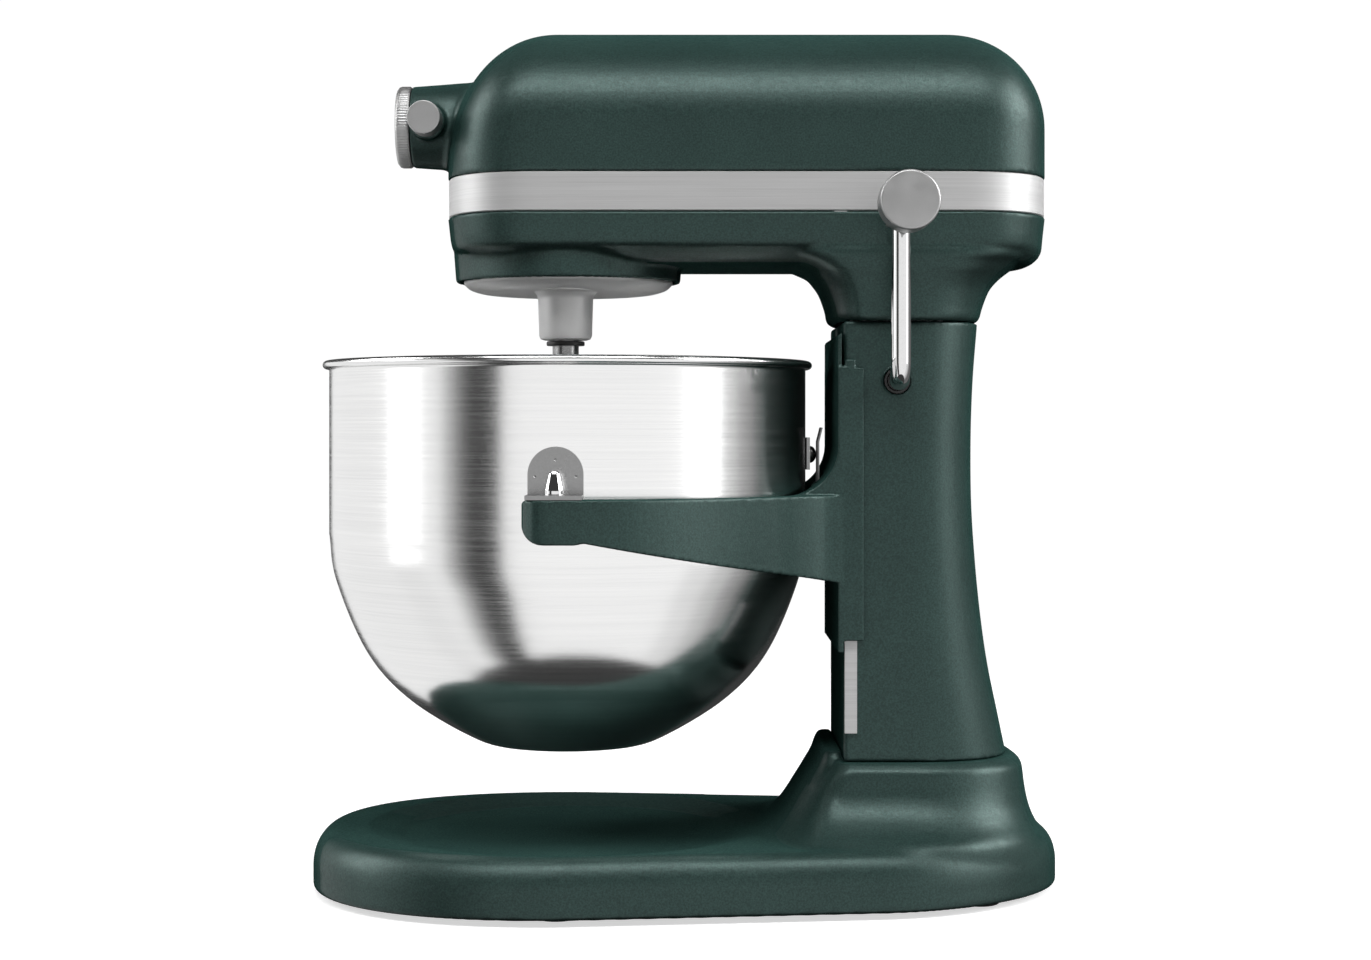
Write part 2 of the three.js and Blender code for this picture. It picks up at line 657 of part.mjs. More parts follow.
add("motor_shaft", wormScrew(-24, 12).add(rodX(MOTOR_Y, MOTOR_Z, 4, -32, 148)), STEEL);
add("armature_core", turnedAlong("x", tube(4.3, 18.3, 84, 126), MOTOR_Y, MOTOR_Z, 20), COPPER);
add("commutator", turnedAlong("x", tube(4.3, 10, 131, 144), MOTOR_Y, MOTOR_Z, 16), COPPER);

function coolingFan() {
  let fan = rodX(MOTOR_Y, MOTOR_Z, 9, 62, 74).add(rodX(MOTOR_Y, MOTOR_Z, 24, 72, 74, 20));
  for (let i = 0; i < 8; i++) {
    const blade = block([62, 8, -0.9], [73, 24, 0.9]).rotate([i * 45, 0, 0]);
    fan = fan.add(blade.translate([0, MOTOR_Y, MOTOR_Z]));
  }
  return fan.subtract(rodX(MOTOR_Y, MOTOR_Z, 4.3, 50, 90));
}

add("cooling_fan", coolingFan(), PLASTIC);
add("motor_stator", turnedAlong("x", tube(19, 29, 84, 126), MOTOR_Y, MOTOR_Z, 24), STEEL);

function brushHolder(side) {
  const ends = [MOTOR_Y + side * 10.5, MOTOR_Y + side * 22].sort((a, b) => a - b);
  return block([132, ends[0], MOTOR_Z - 4], [143, ends[1], MOTOR_Z + 4]);
}

add("brush_holder_right", brushHolder(-1), BRONZE);
add("brush_holder_left", brushHolder(1), BRONZE);
add("control_board", block([152, -38, 318], [153.6, 38, 362]), BOARD);

// ---- Speed control ----

function speedPlate() {
  const frame = block([58, HEAD_HALF_WIDTH - 0.1, 333.5], [126, HEAD_HALF_WIDTH + 1.3, 346.5]);
  const slot = block([SPEED_SLOT.front, 60, SPEED_SLOT.bottom], [SPEED_SLOT.rear, 66, SPEED_SLOT.top]);
  return frame.subtract(slot);
}

function speedLever() {
  const stem = block([68, 52, 337], [76, 68, 343]);
  const knob = turnedAlong("y", [[0, 66], [5.6, 66], [7, 67.4], [7, 74.6], [5.6, 76], [0, 76]], 72, 340, 20);
  return stem.add(knob);
}

add("speed_plate", speedPlate(), SATIN);
add("speed_lever", speedLever(), PLASTIC);

// ---- Bowl lift carriage ----

// The yoke's arms seen from above: an outer curve to each pad, and an inner arc clear of the bowl.
function yokeOutline() {
  const inner = BOWL_RADIUS + 3.3;
  const root = [[CARRIAGE_BACK, CARRIAGE_HALF_WIDTH], [65, 60.5], [55, 69], [40, 86]];
  const outerSide = [...root, [12, 115], [-18, 135], [-42, 142.4], [-58, ARM_REACH]];
  const pad = [[-66, 142.3], [-71.5, 138.5], [-73.2, 133], [-73.2, 126]];
  const curve = new THREE.SplineCurve(asVectors(outerSide));
  const left = [...curve.getPoints(14).map((p) => [p.x, p.y]), ...pad];
  const start = Math.acos((-71.5 - BOWL_X) / inner);
  const arcSteps = 28;
  const arc = Array.from({ length: arcSteps + 1 }, (_, i) => {
    const angle = start - (2 * start * i) / arcSteps;
    return [BOWL_X + inner * Math.cos(angle), inner * Math.sin(angle)];
  });
  const right = left.map(([x, y]) => [x, -y]).reverse();
  return [...left, ...arc, ...right];
}

function filletProfile(radius) {
  const top = ARM_TOP + radius;
  const arc = Array.from({ length: 7 }, (_, i) => {
    const angle = (i * Math.PI) / 12;
    return [CARRIAGE_FRONT - radius + radius * Math.cos(angle), top - radius * Math.sin(angle)];
  });
  return [[CARRIAGE_BACK, top], ...arc, [CARRIAGE_FRONT - radius, 190], [CARRIAGE_BACK, 190]];
}

const CLIP_SEAT = 197;
const CLIP_BACK = 68.6;

function carriageYoke() {
  const underSide = [[-160, 120], [-160, 175.6], [-45, 175.6], [66, 155], [80, 152.4], [80, 120]];
  const under = slab(underSide, -160, 160);
  const arms = plate(yokeOutline(), 150, ARM_TOP).subtract(under);
  const face = block(
    [CARRIAGE_FRONT, -CARRIAGE_HALF_WIDTH, 120.5],
    [CARRIAGE_BACK, CARRIAGE_HALF_WIDTH, 257],
  );
  const head = slab([[CARRIAGE_FRONT, 250], [CARRIAGE_FRONT, 271.5], [74.4, 273.5], [74.4, 250]], -56, 56);
  const fillet = slab(filletProfile(24), -CARRIAGE_HALF_WIDTH, CARRIAGE_HALF_WIDTH);
  const bowlRoom = post(BOWL_X, 0, BOWL_RADIUS + 3.3, ARM_TOP - 60, 300, 56);
  let yoke = arms.add(fillet).subtract(bowlRoom).add(face).add(head);
  for (const side of [-1, 1]) {
    const pinHole = post(BOWL_X, side * PIN_Y, 3.3, 184, 210, 16);
    yoke = yoke.add(flange(side)).subtract(pinHole);
  }
  return yoke.subtract(block([60, -12, CLIP_SEAT], [CLIP_BACK, 12, 232]));
}

// The flange that wraps the column's side and runs on the guide strip, with a stop tab on its top end.
function flange(side) {
  const wrap = block([CARRIAGE_BACK - 1, 54.3, 126.2], [84.8, CARRIAGE_HALF_WIDTH, 256.2]);
  const tab = block([76.2, 54.3, 255], [81, CARRIAGE_HALF_WIDTH - 0.4, 260.5]);
  const whole = wrap.add(tab);
  return side > 0 ? whole : whole.mirror([0, 1, 0]);
}

add("carriage_yoke", carriageYoke(), GREEN);

function locatingPin(side) {
  const flank = [[3, 185], [3, 196], [4.2, 196], [4.2, 199.5], [2.6, 207.2], [1.4, 208.1]];
  return turned([[0, 185], ...flank, [0, 208.1]], BOWL_X, side * PIN_Y, 16);
}

add("locating_pin_right", locatingPin(-1), CHROME);
add("locating_pin_left", locatingPin(1), CHROME);

function liftBracket() {
  const pinRest = LEVER_Z + CRANK_RADIUS;
  const front = 74.4 + GAP;
  const foot = block([front, -8, 262], [77.5, 6, 272]);
  const arm = slab([[front, 262], [128, 262], [128, 282], [82, 282], [82, 276], [front, 272]], -6.5, -0.5);
  const slot = block([97, -10, pinRest - 4.9], [125, 5, pinRest + 8.4]);
  return foot.add(arm).subtract(slot);
}

add("lift_bracket", liftBracket(), STEEL);

// The spring leaf that the bowl's rear stud snaps behind.
const clipLow = CLIP_SEAT + GAP;
const clipFoot = [[CLIP_BACK - GAP, clipLow + 1.2], [CLIP_BACK - GAP, clipLow], [65.6, clipLow]];
const clipLeaf = [[65.6, 221], [67.4, 228], [68.2, 227.8], [66.5, 220.8], [66.5, clipLow + 1.2]];
add("bowl_clip", slab([...clipFoot, ...clipLeaf], -9, 9), STEEL);

// ---- Lift lever ----

function leverRod() {
  const bend = 10;
  const path = new THREE.CurvePath();
  const start = new THREE.Vector3(LEVER_X, -8.6, LEVER_Z);
  const elbowIn = new THREE.Vector3(LEVER_X, LEVER_Y + bend, LEVER_Z);
  const elbow = new THREE.Vector3(LEVER_X, LEVER_Y, LEVER_Z);
  const elbowOut = new THREE.Vector3(LEVER_X, LEVER_Y, LEVER_Z + bend);
  const end = new THREE.Vector3(LEVER_X, LEVER_Y, 326);
  path.add(new THREE.LineCurve3(start, elbowIn));
  path.add(new THREE.QuadraticBezierCurve3(elbowIn, elbow, elbowOut));
  path.add(new THREE.LineCurve3(elbowOut, end));
  return swept(path, circle(4.8, 12), 22);
}

function liftKnob() {
  const knobZ = 332.4;
  const profile = [[0, -100], [12.8, -100], [14, -98.8], [14, -80.5], [12, -78], [8.4, -76.9], [0, -76.9]];
  const cup = post(LEVER_X, LEVER_Y, 7.2, 322, 336);
  const head = turnedAlong("y", profile, LEVER_X + 2, knobZ, 24);
  const neck = rodY(LEVER_X, knobZ - 2, 6.4, -78, LEVER_Y);
  return head.add(cup).add(neck).subtract(post(LEVER_X, LEVER_Y, 5.1, 320, 326.3));
}

function liftCrank() {
  const hub = rodY(LEVER_X, LEVER_Z, 8.5, -15.5, -8.9);
  const web = block([LEVER_X - 5, -15.5, LEVER_Z], [LEVER_X + 5, -10, LEVER_Z + CRANK_RADIUS]);
  const pinEnd = rodY(LEVER_X, LEVER_Z + CRANK_RADIUS, 5, -15.5, -10);
  const pin = rodY(LEVER_X, LEVER_Z + CRANK_RADIUS, 3, -11, 3, 16);
  return hub.add(web).add(pinEnd).add(pin).subtract(rodY(LEVER_X, LEVER_Z, 5.1, -20, -5));
}

add("lift_lever_rod", leverRod(), CHROME);
add("lift_knob", liftKnob(), SATIN);
add("lift_crank", liftCrank(), STEEL);

// ---- Bowl ----

function bowlProfile(offset, steps) {
  const wall = [[BOWL_RADIUS, 176], [114.8, 152.6], [99.6, 117], [78.5, 93.4], [46, 73.6], [27.6, 69.7]];
  const points = wall.map(([r, z]) => new THREE.Vector2(r, z));
  const curve = new THREE.SplineCurve(points);
  return Array.from({ length: steps + 1 }, (_, i) => {
    const part = i / steps;
    const tangent = curve.getTangent(part);
    const point = curve.getPoint(part);
    return [point.x + tangent.y * offset, point.y - tangent.x * offset];
  });
}

function bowlShell() {
  const outer = bowlProfile(0, 8).reverse();
  const inner = bowlProfile(BOWL_SHEET, 8);
  const insideRadius = BOWL_RADIUS - BOWL_SHEET;
  const rim = [
    [BOWL_RADIUS, 256.6],
    [121.6, 257.6],
    [121.6, 259.7],
    [119.4, BOWL_RIM],
    [insideRadius, 259],
  ];
  return turned([[0, 69.7], ...outer, ...rim, ...inner, [0, 69.7 + BOWL_SHEET]], BOWL_X, 0, 40);
}

add("bowl_shell", bowlShell(), STAINLESS);

function bowlEar(side) {
  const halfWidth = 12.6;
  const archZ = 219.1 - halfWidth;
  const arch = Array.from({ length: 9 }, (_, i) => {
    const angle = (i * Math.PI) / 8;
    return [BOWL_X + halfWidth * Math.cos(angle), archZ + halfWidth * Math.sin(angle)];
  });
  const upright = slab([...arch, [BOWL_X - halfWidth, 195.6], [BOWL_X + halfWidth, 195.6]], 118.7, 120.2);
  const tab = block([BOWL_X - halfWidth, 119, 195.6], [BOWL_X + halfWidth, 141, 197.6]);
  const ear = upright.add(tab).subtract(post(BOWL_X, PIN_Y, 4.7, 190, 200));
  return side > 0 ? ear : ear.mirror([0, 1, 0]);
}

add("bowl_ear_right", bowlEar(-1), STAINLESS);
add("bowl_ear_left", bowlEar(1), STAINLESS);

// The handle's loop stands out from the bowl on the left front, half way between the front and the ear.
function bowlHandle() {
  const near = BOWL_RADIUS + GAP;
  const far = 160;
  const route = [[near, 236], [near + 10, 236.5], [far - 8, 233], [far, 222], [far - 1, 200], [far - 7, 178]];
  const foot = [[far - 20, 167], [near + 8, 166], [near, 166.5]];
  const points = [...route, ...foot].map(([r, z]) => new THREE.Vector3(r, 0, z));
  const curve = new THREE.CatmullRomCurve3(points, false, "centripetal");
  const farSide = [[-10, -2.2], [10, -2.2], [11, -1.2], [11, 1.2]];
  const nearSide = [[10, 2.2], [-10, 2.2], [-11, 1.2], [-11, -1.2]];
  const loop = swept(curve, [...farSide, ...nearSide], 22);
  const clear = post(0, 0, near, 100, 300, 96);
  return loop.subtract(clear).rotate([0, 0, 135]).translate([BOWL_X, 0, 0]);
}

add("bowl_handle", bowlHandle(), STAINLESS);

function rearStud() {
  const bowlBack = BOWL_X + BOWL_RADIUS + GAP;
  const foot = block([bowlBack, -10, 207], [bowlBack + 1.6, 10, 223]);
  const studSide = [[4.2, bowlBack], [4.2, bowlBack + 2.4], [3, bowlBack + 4.4]];
  const stud = turnedAlong("x", [[0, bowlBack], ...studSide, [0, bowlBack + 5.2]], 0, 214.5, 16);
  return foot.add(stud);
}

add("bowl_rear_stud", rearStud(), STAINLESS);

export default mixer;
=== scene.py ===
"""Looks for the bowl-lift stand mixer: fine surfaces, materials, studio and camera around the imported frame.

Shapes are written in millimetres in the frame's own axes (+Z up, the bowl toward -X, the camera toward -Y)
and turned into metres when an object is made.
"""

import json
import math

import bpy
import numpy as np
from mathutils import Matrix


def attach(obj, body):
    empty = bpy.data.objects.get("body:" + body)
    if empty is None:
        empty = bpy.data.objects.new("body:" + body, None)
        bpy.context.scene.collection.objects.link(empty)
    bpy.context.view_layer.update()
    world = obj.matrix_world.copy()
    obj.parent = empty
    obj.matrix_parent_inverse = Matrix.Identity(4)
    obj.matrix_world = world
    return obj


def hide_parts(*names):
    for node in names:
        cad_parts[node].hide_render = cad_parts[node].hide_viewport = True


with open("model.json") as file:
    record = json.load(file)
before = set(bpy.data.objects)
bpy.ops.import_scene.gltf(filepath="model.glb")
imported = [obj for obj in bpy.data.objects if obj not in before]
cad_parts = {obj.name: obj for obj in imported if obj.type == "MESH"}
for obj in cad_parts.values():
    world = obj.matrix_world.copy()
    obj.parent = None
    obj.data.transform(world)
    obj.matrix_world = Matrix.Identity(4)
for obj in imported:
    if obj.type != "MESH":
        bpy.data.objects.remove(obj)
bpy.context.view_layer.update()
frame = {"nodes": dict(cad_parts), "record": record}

MM = 0.001
GAP = 0.3

# Driving sizes, the same as the frame's.
BASE_HALF_LENGTH = 184.2
BASE_HALF_WIDTH = 110
BASE_BOTTOM = 3
BASE_FLANK_TOP = 14
BASE_CREST = 31
BASE_ROUND = 11
COLLAR_TOP = 67.7
BOWL_X = -58.5
BOWL_RADIUS = 118.3
BOWL_SHEET = 1.2
COLUMN_FRONT = 75.7
COLUMN_HALF_WIDTH = 52.5
COLUMN_BOTTOM = COLLAR_TOP + GAP
NECK_BOTTOM = 279
HEAD_FRONT = -117.5
HEAD_REAR = 177.5
HEAD_HALF_WIDTH = 62.5
HEAD_CORNER = 48
BROW = 352
CROWN_FRONT = -60
CROWN_REAR = 127.5
HEAD_FLOOR = 307.3
BAND_BOTTOM = 330.4
BAND_TOP = 349.4
SHOULDER = 374
HEAD_TOP = 423
SKIRT_RADIUS = 57
SKIRT_BOTTOM = 299.7
BEATER_OFFSET = 28
HUB_Z = 377.8
KNOB_X = -126.5
CARRIAGE_FRONT = 72.8
CARRIAGE_BACK = 75.3
CARRIAGE_HALF_WIDTH = 57
CLIP_SEAT = 197
CLIP_BACK = 68.6
ARM_TOP = 195.3
ARM_REACH = 143.5
PIN_Y = 130
LEVER_X = 101.3
LEVER_Y = -72
LEVER_Z = 250.3
LEVER_TOP = 332.4
FEET = ((-150, 0), (-60, -85), (-60, 85), (140, -50), (140, 50))
BOLTS = ((96, -34), (96, 34), (140, -24), (140, 24))
CAVITY_TOP = 60
SPEED_SLOT = (65, 119, 336.5, 343.5)


# ---- Mesh tools ----

def make(name, vertices, faces):
    """A mesh object from millimetre vertices."""
    mesh = bpy.data.meshes.new(name)
    mesh.from_pydata([tuple(v) for v in np.asarray(vertices, dtype=float) * MM], [], faces)
    mesh.validate()
    made = bpy.data.objects.new(name, mesh)
    bpy.context.scene.collection.objects.link(made)
    return made


def bake(made):
    """Applies the object's modifiers to its mesh."""
    graph = bpy.context.evaluated_depsgraph_get()
    fresh = bpy.data.meshes.new_from_object(made.evaluated_get(graph))
    made.modifiers.clear()
    made.data = fresh
    return made


def boolean(target, other, operation):
    """Joins or cuts two closed meshes and removes the second."""
    step = target.modifiers.new(operation, "BOOLEAN")
    step.operation = operation
    step.solver = "MANIFOLD"
    step.object = other
    bake(target)
    bpy.data.objects.remove(other)
    return target


def cut(target, *others):
    for other in others:
        boolean(target, other, "DIFFERENCE")
    return target


def join(target, *others):
    for other in others:
        boolean(target, other, "UNION")
    return target


def relax(made, rounds, weight=None, keep=True):
    """Evens out a mesh. With keep, every second step swells it back, so that it doesn't shrink."""
    mesh = made.data
    points = np.empty(len(mesh.vertices) * 3)
    mesh.vertices.foreach_get("co", points)
    points = points.reshape(-1, 3)
    ends = np.empty(len(mesh.edges) * 2, dtype=int)
    mesh.edges.foreach_get("vertices", ends)
    first, second = ends.reshape(-1, 2).T
    degree = np.maximum(np.bincount(ends, minlength=len(points)), 1)[:, None]
    share = np.ones((len(points), 1)) if weight is None else weight(points / MM)[:, None]

    def neighbour_sum(k):
        onward = np.bincount(first, points[second, k], len(points))
        return onward + np.bincount(second, points[first, k], len(points))

    for turn in range(rounds):
        total = np.stack([neighbour_sum(k) for k in range(3)], axis=1)
        amount = -0.53 if keep and turn % 2 else 0.5
        points += amount * share * (total / degree - points)
    mesh.vertices.foreach_set("co", points.ravel())
    mesh.update()


def cast(made, voxel, rounds=6):
    """Turns a joined solid into one even skin with softly rounded edges, as a casting has."""
    step = made.modifiers.new("Skin", "REMESH")
    step.mode = "VOXEL"
    step.voxel_size = voxel * MM
    bake(made)
    relax(made, rounds)
    return made


def smooth(made, angle=None):
    """Shades a mesh smooth, with edges sharper than the angle kept crisp."""
    made.data.shade_smooth()
    if angle is not None:
        made.data.set_sharp_from_angle(angle=math.radians(angle))


def loft(name, rings):
    """A closed skin through rings of equal length."""
    count = len(rings[0])
    vertices = np.concatenate([np.asarray(ring, dtype=float) for ring in rings])
    faces = []
    for level in range(len(rings) - 1):
        low = level * count
        for i in range(count):
            j = (i + 1) % count
            faces.append((low + i, low + j, low + count + j, low + count + i))
    last = (len(rings) - 1) * count
    faces.append(tuple(range(count - 1, -1, -1)))
    faces.append(tuple(range(last, last + count)))
    return make(name, vertices, faces)


def turned(name, profile, centre=(0, 0), axis="z", segments=96):
    """A turned solid. The profile's (radius, distance along) pairs close on themselves or on the axis."""
    closed = profile[0] == profile[-1] and profile[0][0] > 0
    points = profile[:-1] if closed else profile
    angles = np.arange(segments) * 2 * math.pi / segments
    vertices = []
    rows = []
    for radius, along in points:
        rows.append(len(vertices) if radius > 0 else -len(vertices) - 1)
        if radius > 0:
            vertices += [(radius * math.cos(a), radius * math.sin(a), along) for a in angles]
        else:
            vertices.append((0, 0, along))
    faces = []
    for k in range(len(points) if closed else len(points) - 1):
        low, high = rows[k], rows[(k + 1) % len(points)]
        for i in range(segments):
            j = (i + 1) % segments
            if low >= 0 and high >= 0:
                faces.append((low + i, low + j, high + j, high + i))
            elif low >= 0:
                faces.append((low + i, low + j, -high - 1))
            elif high >= 0:
                faces.append((-low - 1, high + j, high + i))
    u, v = centre
    place = {
        "z": lambda p: (p[0] + u, p[1] + v, p[2]),
        "x": lambda p: (p[2], p[0] + u, p[1] + v),
        "y": lambda p: (p[0] + u, p[2], p[1] + v),
    }[axis]
    made = make(name, [place(p) for p in vertices], faces)
    return outward(made)


def outward(made):
    """Turns the faces out if the mesh is inside out."""
    mesh = made.data
    mesh.calc_loop_triangles()
    corners = np.array([mesh.vertices[i].co for t in mesh.loop_triangles for i in t.vertices])
    corners = corners.reshape(-1, 3, 3)
    volume = np.einsum("ij,ij->i", corners[:, 0], np.cross(corners[:, 1], corners[:, 2])).sum()
    if volume < 0:
        mesh.flip_normals()
    return made


def drum(name, radius, low, high, centre, axis="z", segments=64):
    return turned(name, [(0, low), (radius, low), (radius, high), (0, high)], centre, axis, segments)


def slab(name, outline, low, high, across="y"):
    """A flat outline carried along Y (outline in x, z) or along Z (outline in x, y)."""
    lift = (lambda u, v, w: (u, w, v)) if across == "y" else (lambda u, v, w: (u, v, w))
    rings = [[lift(u, v, w) for u, v in outline] for w in (low, high)]
    return outward(loft(name, rings))


def block(name, low, high):
    (x0, y0, z0), (x1, y1, z1) = low, high
    return slab(name, [(x0, y0), (x1, y0), (x1, y1), (x0, y1)], z0, z1, "z")


def sweep(name, points, section, up=None):
    """A bar of one section along a route of points."""
    points = np.asarray(points, dtype=float)
    tangents = np.gradient(points, axis=0)
    tangents /= np.linalg.norm(tangents, axis=1)[:, None]
    side = np.array(up if up is not None else (1.0, 0.0, 0.0))
    rings = []
    for point, tangent in zip(points, tangents):
        side = side - tangent * side.dot(tangent)
        side = side / np.linalg.norm(side)
        other = np.cross(tangent, side)
        rings.append([point + a * side + b * other for a, b in section])
    return outward(loft(name, rings))


def circle(radius, count=32):
    angles = [i * 2 * math.pi / count for i in range(count)]
    return [(radius * math.cos(a), radius * math.sin(a)) for a in angles]


def spline(points, count):
    """Points evenly along a Catmull-Rom curve through the given ones."""
    knots = np.asarray(points, dtype=float)
    padded = np.concatenate([[2 * knots[0] - knots[1]], knots, [2 * knots[-1] - knots[-2]]])
    dense = []
    for k in range(len(knots) - 1):
        a, b, c, d = padded[k : k + 4]
        for t in np.linspace(0, 1, 24, endpoint=False):
            square = 2 * a - 5 * b + 4 * c - d
            cube = 3 * b - a - 3 * c + d
            dense.append(0.5 * (2 * b + (c - a) * t + square * t**2 + cube * t**3))
    dense.append(knots[-1])
    dense = np.array(dense)
    run = np.concatenate([[0], np.cumsum(np.linalg.norm(np.diff(dense, axis=0), axis=1))])
    at = np.linspace(0, run[-1], count)
    return np.stack([np.interp(at, run, dense[:, k]) for k in range(dense.shape[1])], axis=1)


def rounded(profile, radius, steps=5):
    """The outline with each corner cut to an arc-like curve. A profile point (r, z, keep) stays sharp."""
    result = []
    for i, point in enumerate(profile):
        here = np.array(point[:2], dtype=float)
        if len(point) > 2 or i in (0, len(profile) - 1):
            result.append(tuple(here))
            continue
        before = np.array(profile[i - 1][:2], dtype=float) - here
        after = np.array(profile[i + 1][:2], dtype=float) - here
        reach = min(radius, np.linalg.norm(before) / 2.1, np.linalg.norm(after) / 2.1)
        start = here + before / np.linalg.norm(before) * reach
        end = here + after / np.linalg.norm(after) * reach
        for t in np.linspace(0, 1, steps):
            result.append(tuple((1 - t) ** 2 * start + 2 * t * (1 - t) * here + t**2 * end))
    return result


# ---- Outlines shared with the frame ----

def plan(z, front, rear, half_width, front_corner, rear_corner, squareness, steps=24):
    """A level ring with straight sides and an end of superellipse form at the front and the rear."""
    power = 2 / squareness
    ring = []
    for i in range(4 * steps + 2):
        quarter_end = i > steps
        turn = i - 1 if quarter_end else i
        second_end = i > 3 * steps + 1
        turn = turn - 1 if second_end else turn
        angle = turn * math.pi / (2 * steps)
        at_rear = i <= steps or i >= 3 * steps + 2
        corner, reach = (rear_corner, rear - rear_corner) if at_rear else (front_corner, front_corner - front)
        along = math.copysign(abs(math.cos(angle)) ** power, math.cos(angle))
        across = math.copysign(abs(math.sin(angle)) ** power, math.sin(angle))
        if abs(math.cos(angle)) < 1e-9:
            along = 0
        ring.append((corner + reach * along, half_width * across, z))
    return ring


def refined(rows, count):
    """Rows of level numbers, resampled evenly in height along a smooth curve."""
    table = np.asarray(rows, dtype=float)
    return spline(table, count)


def levels(name, rows, count=None, steps=24):
    table = refined(rows, count) if count else rows
    return outward(loft(name, [plan(*row[:7], steps=steps) for row in table]))


def base_half_width(x):
    if x < -60:
        part = (-60 - x) / (BASE_HALF_LENGTH - 60)
        return BASE_HALF_WIDTH * max(0, 1 - part**2.3) ** (1 / 2.3)
    taper = BASE_HALF_WIDTH - 0.115 * (x + 60)
    part = max(0, (x - 92) / (BASE_HALF_LENGTH - 92))
    return taper * math.sqrt(max(0, 1 - part**2))


def base_outline(inset, z, count=240):
    ring = []
    for i in range(count):
        angle = i * 2 * math.pi / count
        x = BASE_HALF_LENGTH * math.cos(angle)
        y = math.copysign(base_half_width(x), math.sin(angle))
        scale_x = (BASE_HALF_LENGTH - inset) / BASE_HALF_LENGTH
        scale_y = (BASE_HALF_WIDTH - inset) / BASE_HALF_WIDTH
        ring.append((x * scale_x, y * scale_y, z))
    return ring


def head_plan(inset, rear_inset=None):
    rear = HEAD_REAR - (inset if rear_inset is None else rear_inset)
    front_corner = HEAD_FRONT + HEAD_CORNER + (0 if rear_inset is None else inset / 2)
    return (HEAD_FRONT + inset, rear, HEAD_HALF_WIDTH - inset, front_corner, HEAD_REAR - HEAD_CORNER, 2.6)


def rise_above(z, start):
    return min(1, max(0, (z - start) / (HEAD_TOP - start)))


def head_level(z, inset):
    side_rise = rise_above(z + inset, SHOULDER)
    side = (1 - side_rise**2.1) ** (1 / 2.1)
    tip = (1 - rise_above(z + inset, BROW) ** 2.1) ** (1 / 2.1)
    rear = CROWN_REAR + (HEAD_REAR - CROWN_REAR) * math.sqrt(1 - side_rise**2) - inset
    front = CROWN_FRONT - (CROWN_FRONT - HEAD_FRONT) * tip + inset
    front_corner = front + HEAD_CORNER * max(tip, 0.1)
    rear_corner = rear - HEAD_CORNER * max(side, 0.1)
    return (z, front, rear, HEAD_HALF_WIDTH * side - inset, front_corner, rear_corner, 2.6)


# ---- Material tools ----

def start_material(name):
    material = bpy.data.materials.new(name)
    material.use_nodes = True
    return material, material.node_tree, material.node_tree.nodes["Principled BSDF"]


def add_node(tree, kind, values=(), **settings):
    made = tree.nodes.new(kind)
    for key, value in settings.items():
        setattr(made, key, value)
    for socket, value in dict(values).items():
        made.inputs[socket].default_value = value
    return made


def noise(tree, stretch, scale=1.0, detail=3.0, roughness=0.55):
    """Noise in the piece's own space, in metres, stretched by the three scales."""
    place = add_node(tree, "ShaderNodeTexCoord")
    mapping = add_node(tree, "ShaderNodeMapping", {"Scale": stretch})
    pattern = add_node(tree, "ShaderNodeTexNoise", {"Scale": scale, "Detail": detail, "Roughness": roughness})
    tree.links.new(place.outputs["Object"], mapping.inputs["Vector"])
    tree.links.new(mapping.outputs["Vector"], pattern.inputs["Vector"])
    return pattern.outputs["Fac"]


def ramp(tree, source, low, high, start=0.3, end=0.7):
    """A colour or number that goes from low to high as the source goes from start to end."""
    made = add_node(tree, "ShaderNodeValToRGB")
    made.color_ramp.elements[0].position = start
    made.color_ramp.elements[1].position = end
    for element, value in zip(made.color_ramp.elements, (low, high)):
        colour = (value,) * 3 if isinstance(value, float) else value
        element.color = (*colour, 1)
    tree.links.new(source, made.inputs["Fac"])
    return made.outputs["Color"]


def blend_colours(tree, first, second, factor, mode="MIX"):
    made = add_node(tree, "ShaderNodeMix", data_type="RGBA", blend_type=mode)
    made.inputs["Factor"].default_value = factor
    tree.links.new(first, made.inputs["A"])
    tree.links.new(second, made.inputs["B"])
    return made.outputs["Result"]


def bump(tree, shader, height, distance, strength=1.0, under=None):
    made = add_node(tree, "ShaderNodeBump", {"Strength": strength, "Distance": distance})
    tree.links.new(height, made.inputs["Height"])
    if under is not None:
        tree.links.new(under, made.inputs["Normal"])
    tree.links.new(made.outputs["Normal"], shader.inputs["Normal"])
    return made.outputs["Normal"]


def green_paint():
    """Dark green textured paint with orange peel, mottling and specks, less glossy at a glancing angle."""
    material, tree, shader = start_material("green_paint")
    grain = noise(tree, (1, 1, 1), 1150, 3, 0.6)
    peel = noise(tree, (1, 1, 1), 420, 2, 0.5)
    cloud = noise(tree, (1, 1, 1), 28, 3, 0.5)
    body = ramp(tree, cloud, (0.021, 0.049, 0.044), (0.025, 0.057, 0.051))
    speck = ramp(tree, grain, (0.74, 0.76, 0.76), (1.36, 1.32, 1.30), 0.36, 0.66)
    colour = blend_colours(tree, body, speck, 1.0, "MULTIPLY")
    tree.links.new(colour, shader.inputs["Base Color"])
    tree.links.new(ramp(tree, peel, 0.36, 0.46), shader.inputs["Roughness"])
    under = bump(tree, shader, peel, 0.00008, 0.5)
    bump(tree, shader, grain, 0.00006, 0.7, under)
    gloss = add_node(tree, "ShaderNodeLayerWeight", {"Blend": 0.5}).outputs["Facing"]
    tree.links.new(ramp(tree, gloss, 0.50, 0.0, 0.35, 0.75), shader.inputs["Specular IOR Level"])
    tree.links.new(ramp(tree, gloss, 0.42, 0.0, 0.40, 0.85), shader.inputs["Metallic"])
    return material


